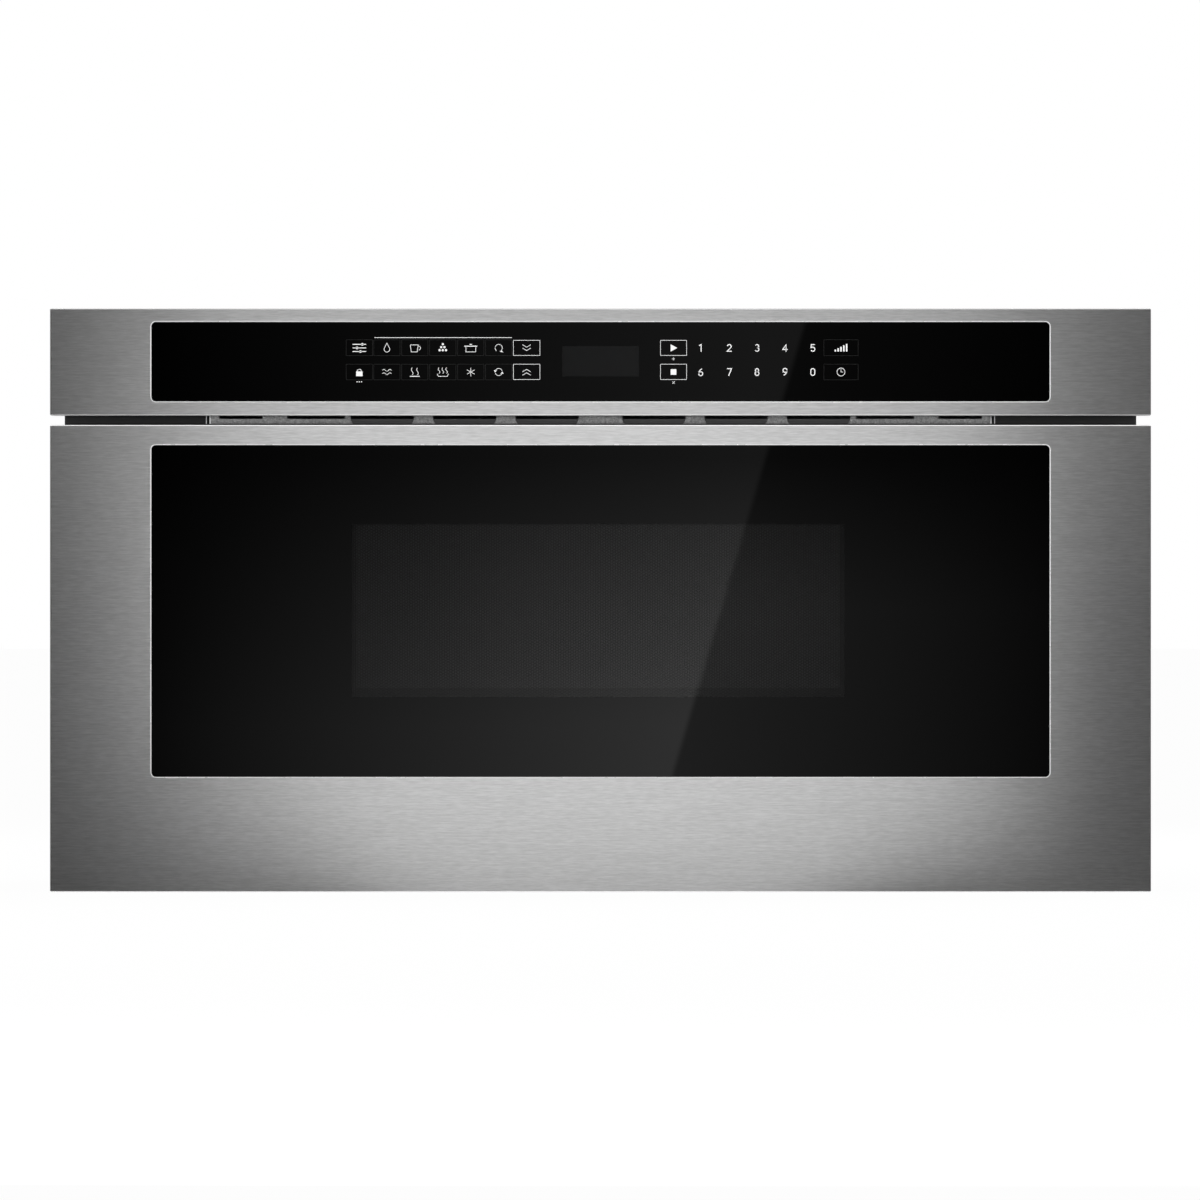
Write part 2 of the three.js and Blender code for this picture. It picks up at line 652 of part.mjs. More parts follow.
function ventGrille() {
  const front = plateFace - CUT_PAST;
  const back = plateBack + CUT_PAST;
  const low = drawerTop - VENT_SLOT_LOW;
  const high = low + VENT_SLOT_HEIGHT;
  const half = VENT_SLOT_WIDTH / 2;
  const slots = [];
  for (const side of [-1, 1]) {
    for (let i = 0; i < VENT_SLOTS_PER_SIDE; i++) {
      const centre = side * (VENT_SLOT_FIRST + i * VENT_SLOT_PITCH);
      const outline = roundRect(centre - half, centre + half, low, high, VENT_SLOT_CORNER);
      slots.push(upright(outline, front, back));
    }
    for (const [near, far] of SIDE_SLOTS) {
      slots.push(sideBlock(side, near, far, front, back, low + SIDE_SLOT_RISE, high));
    }
  }
  return cut(tabbedPlate(plateTop + SEAT_GAP, grilleTop), ...slots);
}

add(body, "cavity_left_wall", greyEnamel, ovenSide(-1));
add(body, "cavity_right_wall", greyEnamel, ovenSide(1));
add(body, "cavity_floor", greyEnamel, ovenFloorPlate());
add(body, "cavity_ceiling", greyEnamel, ovenCeilingPlate());
add(body, "cavity_rear_wall", greyEnamel, ovenRearWall());
add(body, "cavity_front_plate", greyEnamel, ovenFrontPlate());
add(body, "vent_grille", greyEnamel, ventGrille());

// ---------------------------------------------------------------- microwave feed

function stirrerDome() {
  const outer = STIRRER_OPENING_RADIUS + DOME_WALL_PAST;
  const flange = upBar(outer + DOME_FLANGE, domeBottom, domeBottom + SHEET, ROUND);
  const shell = upBar(outer, domeBottom, domeTop, ROUND);
  const inside = upBar(outer - SHEET, domeBottom - CUT_PAST, domeTop - SHEET, ROUND);
  const port = upBar(FEED_PORT_RADIUS, domeTop - CUT_PAST, domeTop + CUT_PAST);
  return cut(join(flange, shell), inside, port);
}

function stirrerCover() {
  const low = ovenCeiling + COVER_INSET;
  const high = ovenCeiling + SHEET - COVER_INSET;
  return upBar(STIRRER_OPENING_RADIUS - SEAT_GAP, low, high, ROUND);
}

// Rotating antenna: a disc with two windows and a slot, on a shaft up to its motor.
function stirrerBlade() {
  const low = domeBottom + STIRRER_RISE;
  const high = low + STIRRER_SHEET;
  const [hubBelow, hubAbove] = STIRRER_HUB_REACH;
  const [near, far] = STIRRER_WINDOW_SPAN;
  const shaftEnd = waveguideTop + SEAT_GAP + STIRRER_SHAFT_DEPTH;
  const disc = bar("z", STIRRER_RADIUS, low, high, 0, 0, 24);
  const hub = bar("z", STIRRER_HUB_RADIUS, low - hubBelow, low + hubAbove, 0, 0);
  const shaft = bar("z", SHAFT_RADIUS, low, shaftEnd, 0, 0);
  const half = STIRRER_WINDOW_WIDTH / 2;
  const windows = [-1, 1].map((side) =>
    sideBlock(side, near, far, -half, half, low - CUT_PAST, high + CUT_PAST),
  );
  const slotHalf = STIRRER_SLOT_WIDTH / 2;
  const slot = block(-slotHalf, slotHalf, near, far, low - CUT_PAST, high + CUT_PAST);
  return join(cut(disc, ...windows, slot), hub, shaft);
}

function stirrerMotor() {
  const low = waveguideTop + SEAT_GAP;
  const [earReach, earWidth, earSheet] = STIRRER_MOTOR_EARS;
  const can = upBar(STIRRER_MOTOR_RADIUS, low, low + STIRRER_MOTOR_HEIGHT, 20);
  const span = 2 * (STIRRER_MOTOR_RADIUS + earReach);
  const ears = blockAt(0, STIRRER_CENTRE_Y, low + earSheet / 2, span, earWidth, earSheet);
  const boreEnd = low + STIRRER_SHAFT_DEPTH + SINK;
  return cut(can.add(ears), upBar(SHAFT_RADIUS + RUNNING_GAP, low - CUT_PAST, boreEnd));
}

// Rectangular duct from the magnetron's antenna to the stirrer's dome.
function waveguide() {
  const y0 = STIRRER_CENTRE_Y - WAVEGUIDE_WIDTH / 2;
  const y1 = STIRRER_CENTRE_Y + WAVEGUIDE_WIDTH / 2;
  const x0 = -WAVEGUIDE_END;
  const x1 = magnetronX + WAVEGUIDE_END;
  const [z0, z1] = [waveguideBottom, waveguideTop];
  const [under, over] = [z0 - CUT_PAST, z0 + CUT_PAST];
  const duct = block(x0, x1, y0, y1, z0, z1);
  const inside = block(x0 + SHEET, x1 - SHEET, y0 + SHEET, y1 - SHEET, z0 + SHEET, z1 - SHEET);
  const port = upBar(FEED_PORT_RADIUS, under, over);
  const shaftHole = upBar(SHAFT_RADIUS + SEAT_GAP, z1 - CUT_PAST, z1 + CUT_PAST);
  const antennaRoom = ANTENNA_RADIUS + ANTENNA_CLEARANCE;
  const antennaHole = bar("z", antennaRoom, under, over, magnetronX, STIRRER_CENTRE_Y);
  return cut(duct, inside, port, shaftHole, antennaHole);
}

// Magnetron: a yoke open front and back, cooling fins, filter box below and antenna above.
function magnetron() {
  const [dx, dy, dz] = MAGNETRON_SIZE;
  const [fx, fy, fz] = MAGNETRON_FILTER;
  const middle = -dz / 2;
  const wall = 2 * YOKE_SHEET;
  const inside = blockAt(0, 0, middle, dx - wall, dy + CUT_PAST, dz - wall);
  const yoke = cut(blockAt(0, 0, middle, dx, dy, dz), inside);
  const core = bar("z", MAGNETRON_CORE_RADIUS, -dz + SINK, -SINK, 0, 0);
  const fins = [];
  for (let i = 0; i < MAGNETRON_FINS; i++) {
    const z = -dz + ((i + 1) * dz) / (MAGNETRON_FINS + 1);
    fins.push(blockAt(0, 0, z, dx - YOKE_SHEET, dy - 2 * FIN_SETBACK, FIN_THICKNESS));
  }
  const filter = blockAt(0, 0, -dz - fz / 2 + SINK, fx, fy, fz);
  const antenna = bar("z", ANTENNA_RADIUS, -SINK, ANTENNA_HEIGHT, 0, 0);
  return join(yoke, core, filter, antenna, ...fins);
}

add(body, "stirrer_dome", zincSteel, stirrerDome());
add(body, "stirrer_cover", mica, stirrerCover());
add(body, "stirrer_motor", zincSteel, stirrerMotor());
add(body, "stirrer_antenna", aluminium, stirrerBlade(), [0, STIRRER_CENTRE_Y, 0]);
add(body, "waveguide", zincSteel, waveguide());
add(body, "magnetron", zincSteel, magnetron(), [magnetronX, STIRRER_CENTRE_Y, magnetronTop]);

// ---------------------------------------------------------------- air and electrics

// Flat duct that brings the exhaust air to the grille; open at both ends.
function exhaustDuct() {
  const half = plateHalf - 2 * SHEET;
  const low = plateTop + SEAT_GAP + SHEET;
  const y0 = ovenFront;
  const shell = block(-half, half, y0, y0 + EXHAUST_DEPTH, low, low + EXHAUST_HEIGHT);
  const inside = block(
    -half + SHEET,
    half - SHEET,
    y0 - CUT_PAST,
    y0 + EXHAUST_DEPTH + CUT_PAST,
    low + SHEET,
    low + EXHAUST_HEIGHT - SHEET,
  );
  return cut(shell, inside);
}

const rearRowY = caseRear - REAR_ROW_SETBACK;
const fanPlateY = ovenRear + SHEET + FAN_BEHIND_OVEN;
const fanRotorY = fanPlateY + FAN_PLATE + FAN_TO_PLATE;
const fanMotorY = fanPlateY + FAN_PLATE + FAN_DEPTH + FAN_TO_MOTOR;

// Plate with the fan's round opening, a bent edge to the side panel, and posts for the motor.
function fanFrame() {
  const [cx, cz] = [fanX, FAN_Z];
  const right = caseHalf - SHEET - SEAT_GAP;
  const left = cx - FAN_PLATE_MARGIN;
  const low = cz - FAN_PLATE_HEIGHT / 2;
  const high = cz + FAN_PLATE_HEIGHT / 2;
  const plateBackY = fanPlateY + FAN_PLATE;
  const clear = FAN_RADIUS + FAN_TIP_CLEARANCE;
  const plate = block(left, right, fanPlateY, plateBackY, low, high);
  const edge = block(right - FAN_PLATE, right, fanPlateY, fanPlateY + FOLD, low, high);
  const opening = bar("y", clear, fanPlateY - CUT_PAST, plateBackY + CUT_PAST, cx, cz, 24);
  const reach = clear + FAN_POST;
  const crossBack = fanMotorY - SEAT_GAP;
  const crossFront = crossBack - FAN_CROSS;
  const postHalf = FAN_POST / 2;
  const cross = block(cx - postHalf, cx + postHalf, crossFront, crossBack, cz - reach, cz + reach);
  const shaftRoom = SHAFT_RADIUS + SEAT_GAP;
  const shaftHole = bar("y", shaftRoom, crossFront - CUT_PAST, crossBack + CUT_PAST, cx, cz);
  const eye = bar("y", FAN_EYE_RADIUS, crossFront, crossBack, cx, cz);
  const posts = [-1, 1].map((end) => {
    const z = cz + end * reach;
    return block(cx - postHalf, cx + postHalf, fanPlateY, crossBack, z - postHalf, z + postHalf);
  });
  return cut(join(cut(plate, opening), edge, cross, eye, ...posts), shaftHole);
}

function fanMotor() {
  const [dx, dy, dz] = FAN_MOTOR_SIZE;
  const [coreFront, coreRear] = FAN_MOTOR_CORE;
  const [coilLeft, coilWidth] = FAN_MOTOR_COIL;
  const laminations = block(-dx / 2, dx / 2, coreFront, dy - coreRear, -dz / 2, dz / 2);
  const coilStart = -dx / 2 - coilLeft;
  const coil = block(coilStart, coilStart + coilWidth, SINK, dy - coreFront, -dz / 4, dz / 4);
  const bearing = bar("y", FAN_BEARING_RADIUS, 0, dy, 0, 0);
  const bore = bar("y", SHAFT_RADIUS + RUNNING_GAP, -CUT_PAST, FAN_SHAFT_IN_MOTOR + SINK, 0, 0);
  return cut(join(laminations, coil, bearing), bore);
}

// Axial fan: hub, shaft back into the motor, and pitched blades.
function fanRotor() {
  const hub = bar("y", FAN_HUB_RADIUS, 0, FAN_DEPTH, 0, 0);
  const shaftEnd = fanMotorY - fanRotorY + FAN_SHAFT_IN_MOTOR;
  const shaft = bar("y", SHAFT_RADIUS, FAN_DEPTH / 2, shaftEnd, 0, 0);
  const blades = [];
  const root = FAN_HUB_RADIUS - FAN_BLADE_ROOT;
  const span = FAN_RADIUS - root;
  for (let i = 0; i < FAN_BLADES; i++) {
    const blade = new THREE.BoxGeometry(FAN_BLADE_CHORD, FAN_BLADE_SHEET, span);
    blade.rotateZ(FAN_BLADE_PITCH);
    blade.translate(0, FAN_DEPTH / 2, root + span / 2);
    blade.rotateY((i * 2 * Math.PI) / FAN_BLADES);
    blades.push(solid(blade));
  }
  return join(hub, shaft, ...blades);
}

function transformer() {
  const [dx, dy, dz] = TRANSFORMER_SIZE;
  const [coilIn, coilOut, coilLow, coilTop] = TRANSFORMER_COIL;
  const [footOut, footIn, footHigh] = TRANSFORMER_FOOT;
  const coilX = dx / 2 - coilIn;
  const coilY = dy / 2 + coilOut;
  const footX = dx / 2 + footOut;
  const footY = dy / 2 - footIn;
  return join(
    block(-dx / 2, dx / 2, -dy / 2, dy / 2, footHigh - SINK, dz),
    block(-coilX, coilX, -coilY, coilY, coilLow, dz - coilTop),
    block(-footX, footX, -footY, footY, 0, footHigh),
  );
}

function capacitor() {
  const [dx, dy, dz] = CAPACITOR_SIZE;
  const [spread, length, width, sheet] = CAPACITOR_TABS;
  const can = upright(roundRect(-dx / 2, dx / 2, 0, dz, CAPACITOR_CORNER), -dy / 2, dy / 2);
  const tabs = [-1, 1].map((side) => {
    const y = (-dy - length) / 2 + SINK;
    return blockAt(side * spread, y, dz / 2, width, length, sheet);
  });
  return join(can, ...tabs);
}

function powerBoard() {
  const [depth, height] = POWER_BOARD_SIZE;
  const board = blockAt(0, 0, 0, BOARD_THICKNESS, depth, height);
  const [relayX, relayY, relayZ] = RELAY_SIZE;
  const relays = [-1, 0, 1].map((i) =>
    blockAt(relayX / 2, i * RELAY_PITCH, RELAY_ABOVE, relayX, relayY, relayZ),
  );
  const [chokeX, chokeY, chokeZ] = LINE_CHOKE_SIZE;
  const choke = blockAt(chokeX / 2, ...LINE_CHOKE_PLACE, chokeX, chokeY, chokeZ);
  const posts = [];
  for (const i of [-1, 1]) {
    for (const j of [-1, 1]) {
      const y = i * (depth / 2 - POST_INSET);
      const z = j * (height / 2 - POST_INSET);
      posts.push(bar("x", POST_RADIUS, -POWER_BOARD_STANDOFF, 0, y, z, 8));
    }
  }
  return join(board, choke, ...relays, ...posts);
}

function cavityLamp() {
  const [dx, dy, dz] = LAMP_SIZE;
  const wall = 2 * LAMP_WALL;
  const room = blockAt(-dx / 2 + wall, 0, 0, dx, dy - wall, dz - wall);
  const holder = cut(blockAt(-dx / 2, 0, 0, dx, dy, dz), room);
  return join(holder, bar("x", BULB_RADIUS, -dx + LAMP_WALL, -BULB_BACK, 0, 0, 12));
}

add(body, "exhaust_duct", blackPaint, exhaustDuct());
add(body, "fan_frame", zincSteel, fanFrame());
add(body, "fan_motor", zincSteel, fanMotor(), [fanX, fanMotorY, FAN_Z]);
add(body, "fan_rotor", whitePlastic, fanRotor(), [fanX, fanRotorY, FAN_Z]);
add(body, "transformer", copperCoil, transformer(), [transformerX, rearRowY, bodyBottom]);
add(body, "capacitor", aluminium, capacitor(), [capacitorX, rearRowY, bodyBottom]);
add(body, "power_board", boardGreen, powerBoard(), [
  -caseHalf + SHEET + SEAT_GAP + POWER_BOARD_STANDOFF,
  POWER_BOARD_Y,
  POWER_BOARD_Z,
]);
add(body, "cavity_lamp", whitePlastic, cavityLamp(), [-ovenOuter - SEAT_GAP, LAMP_Y, LAMP_Z]);

// ---------------------------------------------------------------- control panel

// Brushed skin bent round four sides, open at the back, with a window for the glass.
function skinPan(low, high, glassLow, glassHigh) {
  const inner = frontHalf - SKIN;
  const outside = block(-frontHalf, frontHalf, frontFace, doorBack, low, high);
  const inside = block(-inner, inner, frontFace + SKIN, doorBack + CUT_PAST, low + SKIN, high - SKIN);
  const reach = glassHalf + SEAT_GAP;
  const corner = GLASS_CORNER + SEAT_GAP;
  const window = roundRect(-reach, reach, glassLow - SEAT_GAP, glassHigh + SEAT_GAP, corner);
  return cut(outside, inside, upright(window, frontFace - CUT_PAST, frontFace + CUT_PAST));
}

function glassPane(low, high, thickness) {
  const face = frontFace + GLASS_RECESS;
  return upright(roundRect(-glassHalf, glassHalf, low, high, GLASS_CORNER), face, face + thickness);
}

// Room for a pane from the front back to `seat`.
function glassPocket(seat, low, high) {
  const reach = glassHalf + SEAT_GAP;
  return block(-reach, reach, frontFace - CUT_PAST, seat, low - SEAT_GAP, high + SEAT_GAP);
}

const skinInset = SKIN + SEAT_GAP;
const controlGlassLow = controlBottom + CONTROL_GLASS_BOTTOM_BORDER;
const controlGlassHigh = frontTop - CONTROL_GLASS_TOP_BORDER;
const controlGlassBack = frontFace + GLASS_RECESS + CONTROL_GLASS_THICKNESS;
const controlPocket = controlGlassBack + SEAT_GAP;
const frameSeat = -FRAME_SHEET - SEAT_GAP;
const displayTop = frontTop - DISPLAY_BELOW_TOP;
const displayLow = displayTop - DISPLAY_HEIGHT;
const boardFront = controlPocket + MOULDING_WALL + SEAT_GAP;

// Black carrier behind the control glass; it seats on the frame and holds the board.
function controlCarrier() {
  const wall = MOULDING_WALL;
  const half = frontHalf - skinInset;
  const low = controlBottom + skinInset;
  const high = frontTop - skinInset;
  const hollowHalf = half - wall;
  const hollowBack = doorBack + CUT_PAST;
  const outer = block(-half, half, frontFace + skinInset, doorBack, low, high);
  const hollow = block(-hollowHalf, hollowHalf, controlPocket + wall, hollowBack, low + wall, high - wall);
  const pocket = glassPocket(controlPocket, controlGlassLow, controlGlassHigh);
  const displayHalf = DISPLAY_WIDTH / 2 + SEAT_GAP;
  const displayRoom = [displayLow - SEAT_GAP, displayTop + SEAT_GAP];
  const display = block(-displayHalf, displayHalf, frontFace - CUT_PAST, boardFront, ...displayRoom);
  const near = openingHalf + CARRIER_RIB;
  const ribs = [-1, 1].map((side) =>
    sideBlock(side, near, near + wall, controlPocket, frameSeat, low, frameTop),
  );
  return join(cut(outer, hollow, pocket, display), ...ribs);
}

function controlBoard() {
  const middle = (controlBottom + frontTop) / 2;
  const back = boardFront + BOARD_THICKNESS;
  const board = blockAt(0, back - BOARD_THICKNESS / 2, middle, BOARD_WIDTH, BOARD_THICKNESS, BOARD_HEIGHT);
  const [dx, dy, dz] = BOARD_PART_SIZE;
  const parts = BOARD_PART_PLACES.map((x) => blockAt(x, back + dy / 2 - SINK / 2, middle, dx, dy, dz));
  return join(board, ...parts);
}

function displayModule() {
  const half = DISPLAY_WIDTH / 2;
  return block(-half, half, controlGlassBack + SEAT_GAP, boardFront - SEAT_GAP, displayLow, displayTop);
}

add(body, "control_bezel", brushedSteel, skinPan(controlBottom, frontTop, controlGlassLow, controlGlassHigh));
add(body, "control_glass", blackGlass, glassPane(controlGlassLow, controlGlassHigh, CONTROL_GLASS_THICKNESS));
add(body, "control_carrier", blackPlastic, controlCarrier());
add(body, "control_board", boardGreen, controlBoard());
add(body, "display_module", darkDisplay, displayModule());

// ---------------------------------------------------------------- drawer front

const drawerGlassLow = frontBottom + DRAWER_GLASS_BOTTOM_BORDER;
const drawerGlassHigh = drawerTop - DRAWER_GLASS_TOP_BORDER;
const drawerGlassBack = frontFace + GLASS_RECESS + DRAWER_GLASS_THICKNESS;
const doorPocket = drawerGlassBack + SEAT_GAP;
const screenSeat = doorPocket + SEAT_GAP + SCREEN_THICKNESS;
const windowLow = windowZ - WINDOW_HEIGHT / 2;
const windowHigh = windowZ + WINDOW_HEIGHT / 2;
const windowHalf = WINDOW_WIDTH / 2;

function windowBlock(grow, y0, y1) {
  return block(-windowHalf - grow, windowHalf + grow, y0, y1, windowLow - grow, windowHigh + grow);
}

// Hollow frame that fills the skin, seats the glass and carries the window tunnel.
function doorFrame() {
  const wall = MOULDING_WALL;
  const half = frontHalf - skinInset;
  const low = frontBottom + skinInset;
  const high = drawerTop - skinInset;
  const front = screenSeat + wall;
  const outer = block(-half, half, frontFace + skinInset, doorBack, low, high);
  const hollow = block(-half + wall, half - wall, front, doorBack - wall, low + wall, high - wall);
  const roomHalf = chokeHalf + SEAT_GAP;
  const chokeRoom = block(
    -roomHalf,
    roomHalf,
    doorBack - 2 * wall,
    doorBack + CUT_PAST,
    chokeBottom - SEAT_GAP,
    chokeTop + SEAT_GAP,
  );
  const pocket = glassPocket(doorPocket, drawerGlassLow, drawerGlassHigh);
  const tunnel = windowBlock(wall, screenSeat, doorBack);
  const screenRoom = windowBlock(WINDOW_SEAT + SEAT_GAP, doorPocket - SINK, screenSeat);
  const view = windowBlock(0, frontFace, doorBack + CUT_PAST);
  return cut(cut(outer, hollow, chokeRoom, pocket).add(tunnel), screenRoom, view);
}

function windowScreen() {
  const back = screenSeat - SEAT_GAP;
  return windowBlock(WINDOW_SEAT, back - SCREEN_THICKNESS, back);
}

function innerWindow() {
  return windowBlock(WINDOW_SEAT, doorBack + SEAT_GAP, chokeCoverBack - SEAT_GAP);
}

// Metal channel round the window that traps the microwaves, open towards the oven.
function chokeFrame() {
  const floor = doorBack - CHOKE_DEPTH;
  const inner = MOULDING_WALL + SEAT_GAP;
  const outer = block(-chokeHalf, chokeHalf, floor, doorBack, chokeBottom, chokeTop);
  const channel = block(
    -chokeHalf + SHEET,
    chokeHalf - SHEET,
    floor + SHEET,
    doorBack + CUT_PAST,
    chokeBottom + SHEET,
    chokeTop - SHEET,
  );
  const collar = windowBlock(inner + SHEET, floor, doorBack);
  return cut(cut(outer, channel).add(collar), windowBlock(inner, floor - CUT_PAST, doorBack + CUT_PAST));
}

function chokeCover() {
  const plate = block(-chokeHalf, chokeHalf, doorBack + SEAT_GAP, chokeCoverBack, chokeBottom, chokeTop);
  return cut(plate, windowBlock(WINDOW_SEAT + SEAT_GAP, doorBack, chokeCoverBack + CUT_PAST));
}

add(drawer, "drawer_skin", brushedSteel, skinPan(frontBottom, drawerTop, drawerGlassLow, drawerGlassHigh));
add(drawer, "drawer_glass", blackGlass, glassPane(drawerGlassLow, drawerGlassHigh, DRAWER_GLASS_THICKNESS));
add(drawer, "door_frame", blackPlastic, doorFrame());
add(drawer, "window_screen", blackPaint, windowScreen());
add(drawer, "inner_window", clearGlass, innerWindow());
add(drawer, "choke_frame", zincSteel, chokeFrame());
add(drawer, "choke_cover", greyPlastic, chokeCover());

// ---------------------------------------------------------------- food bin

const binFront = chokeCoverBack + SEAT_GAP;
const binRear = BIN_DEPTH + BIN_WALL;

// Bin with three walls, a rim and two glides; the door closes its fourth side.
function drawerBin() {
  const inner = BIN_WIDTH / 2;
  const outer = block(-binOuter, binOuter, binFront, binRear, binBottom, binTop);
  const [floor, over] = [binBottom + BIN_FLOOR, binTop + CUT_PAST];
  const hollow = block(-inner, inner, binFront - CUT_PAST, BIN_DEPTH, floor, over);
  const rimOuter = block(
    -binOuter - BIN_RIM,
    binOuter + BIN_RIM,
    binFront,
    binRear + BIN_RIM,
    binTop - BIN_RIM_THICKNESS,
    binTop,
  );
  const near = binOuter - BIN_GLIDE_INSET - BIN_GLIDE_WIDTH / 2;
  const far = near + BIN_GLIDE_WIDTH;
  const glideBottom = binBottom - BIN_GLIDE_HEIGHT;
  const [front, short] = BIN_GLIDE_ENDS;
  const glides = [-1, 1].map((side) =>
    sideBlock(side, near, far, front, BIN_DEPTH - short, glideBottom, binBottom + SINK),
  );
  return join(cut(outer.add(rimOuter), hollow), ...glides);
}

function binTray() {
  const half = BIN_WIDTH / 2 - SEAT_GAP;
  return block(-half, half, binFront, BIN_DEPTH - SEAT_GAP, trayBottom, trayTop);
}

add(drawer, "drawer_bin", greyPlastic, drawerBin());
add(drawer, "bin_tray", ceramic, binTray());

// ---------------------------------------------------------------- slides

const slideEnd = SLIDE_START + SLIDE_LENGTH;

// A channel along Y: a web, two flanges and, if asked, lips down from the flanges' inner ends.
function channel(side, web, flange, halfHeight, lip = 0) {
  const z = SLIDE_CENTRE_Z;
  const parts = [sideBlock(side, ...web, SLIDE_START, slideEnd, z - halfHeight, z + halfHeight)];
  const lipSpan = [flange[0], flange[0] + SLIDE_SHEET];
  for (const end of [-1, 1]) {
    const reach = (depth) => [z + end * halfHeight, z + end * (halfHeight - depth)].sort((a, b) => a - b);
    parts.push(sideBlock(side, ...flange, SLIDE_START, slideEnd, ...reach(SLIDE_SHEET)));
    parts.push(sideBlock(side, ...lipSpan, SLIDE_START, slideEnd, ...reach(SLIDE_SHEET + lip)));
  }
  return join(...parts);
}

const ballPitch = 2 * BALL_RADIUS - BALL_SINK + RUNNING_GAP; // raceway to raceway
const outerHalf = SLIDE_HEIGHT / 2;
const middleHalf = outerHalf - SLIDE_SHEET - ballPitch;
const innerHalf = middleHalf - SLIDE_SHEET - ballPitch;
const outerLipNear = slideInner + SLIDE_SHEET + SEAT_GAP;
const middleNear = outerLipNear + SLIDE_SHEET + MIDDLE_FROM_LIP;
const middleFar = slideOuter - SLIDE_SHEET - MIDDLE_FROM_WEB;

function slideOuterMember(side) {
  const web = [slideOuter - SLIDE_SHEET, slideOuter];
  return channel(side, web, [outerLipNear, slideOuter], outerHalf, SLIDE_LIP);
}

function slideInnerMember(side) {
  const far = middleFar - SLIDE_SHEET - INNER_FROM_MIDDLE;
  return channel(side, [slideInner, slideInner + SLIDE_SHEET], [slideInner, far], innerHalf);
}

// The middle member with its ball rows, above and below each flange.
function slideMiddleMember(side) {
  const web = [middleFar - SLIDE_SHEET, middleFar];
  const member = channel(side, web, [middleNear, middleFar], middleHalf);
  const balls = [];
  const step = (SLIDE_LENGTH - 2 * BALL_ROW_INSET) / (BALLS_PER_ROW - 1);
  const x = (side * (middleNear + web[0])) / 2;
  const lift = BALL_RADIUS - BALL_SINK;
  for (let i = 0; i < BALLS_PER_ROW; i++) {
    const y = SLIDE_START + BALL_ROW_INSET + i * step;
    for (const up of [-1, 1]) {
      for (const z of [middleHalf + lift, middleHalf - SLIDE_SHEET - lift]) {
        const ball = new THREE.OctahedronGeometry(BALL_RADIUS, 1);
        ball.translate(x, y, SLIDE_CENTRE_Z + up * z);
        balls.push(solid(ball));
      }
    }
  }
  return join(member, ...balls);
}

// Bracket that stands on the base plate and carries the fixed member.
function slideBracket(side) {
  const top = SLIDE_CENTRE_Z + outerHalf + BRACKET_ABOVE_SLIDE;
  const footFar = bracketOuter + BRACKET_FOOT;
  const footTop = bodyBottom + BRACKET_SHEET;
  return join(
    sideBlock(side, bracketInner, bracketOuter, SLIDE_START, slideEnd, bodyBottom, top),
    sideBlock(side, bracketInner, footFar, SLIDE_START, slideEnd, bodyBottom, footTop),
  );
}

// Arm from the door's back to the inner member, with the latch tongue on its flange.
function drawerArm(side) {
  const armSpan = [SLIDE_CENTRE_Z - ARM_HEIGHT / 2, SLIDE_CENTRE_Z + ARM_HEIGHT / 2];
  const latchSpan = [SLIDE_CENTRE_Z - LATCH_HEIGHT / 2, SLIDE_CENTRE_Z + LATCH_HEIGHT / 2];
  const front = doorBack + SEAT_GAP;
  return join(
    sideBlock(side, armInner, armOuter, front, ARM_LENGTH, ...armSpan),
    sideBlock(side, armInner - ARM_FLANGE_INNER, latchOuter, front, front + ARM_FLANGE, ...armSpan),
    sideBlock(side, latchInner, latchOuter, front, LATCH_REACH, ...latchSpan),
  );
}

// Interlock switch on the bracket's outer face, its plunger against the tongue.
function interlockSwitch(side) {
  const [dx, dy, dz] = SWITCH_SIZE;
  const front = LATCH_REACH + SEAT_GAP + PLUNGER_LENGTH;
  const near = bracketOuter + SEAT_GAP;
  const x = (side * (latchInner + latchOuter)) / 2;
  const [low, high] = [SLIDE_CENTRE_Z - dz / 2, SLIDE_CENTRE_Z + dz / 2];
  const housing = sideBlock(side, near, near + dx, front, front + dy, low, high);
  return housing.add(bar("y", PLUNGER_RADIUS, front - PLUNGER_LENGTH, front + SINK, x, SLIDE_CENTRE_Z, 8));
}

for (const [side, word] of [
  [-1, "left"],
  [1, "right"],
]) {
  add(slides, word + "_slide_outer", zincSteel, slideOuterMember(side));
  add(slides, word + "_slide_middle", zincSteel, slideMiddleMember(side));
  add(drawer, word + "_slide_inner", zincSteel, slideInnerMember(side));
  add(slides, word + "_slide_bracket", zincSteel, slideBracket(side));
  add(drawer, word + "_drawer_arm", zincSteel, drawerArm(side));
  add(body, word + "_interlock_switch", blackPlastic, interlockSwitch(side));
}

// ---------------------------------------------------------------- drive

// One flank of an involute tooth, from the root out, as [angle from the tooth's middle, radius].
function flank(teeth, module) {
  const pitch = (teeth * module) / 2;
  const base = pitch * Math.cos(PRESSURE_ANGLE);
  const tip = pitch + TOOTH_ADDENDUM * module;
  const root = pitch - TOOTH_DEDENDUM * module;
  const involute = (r) => {
    const a = Math.acos(base / r);
    return Math.tan(a) - a;
  };
  const half = (Math.PI * module) / 4 - BACKLASH / 4;
  const steps = 3;
  const points = [];
  const startAngle = half / pitch + involute(pitch);
  if (root < base) points.push([startAngle, root]);
  const from = Math.max(base, root);
  for (let i = 0; i <= steps; i++) {
    const r = from + ((tip - from) * i) / steps;
    points.push([startAngle - involute(r), r]);
  }
  return points;
}

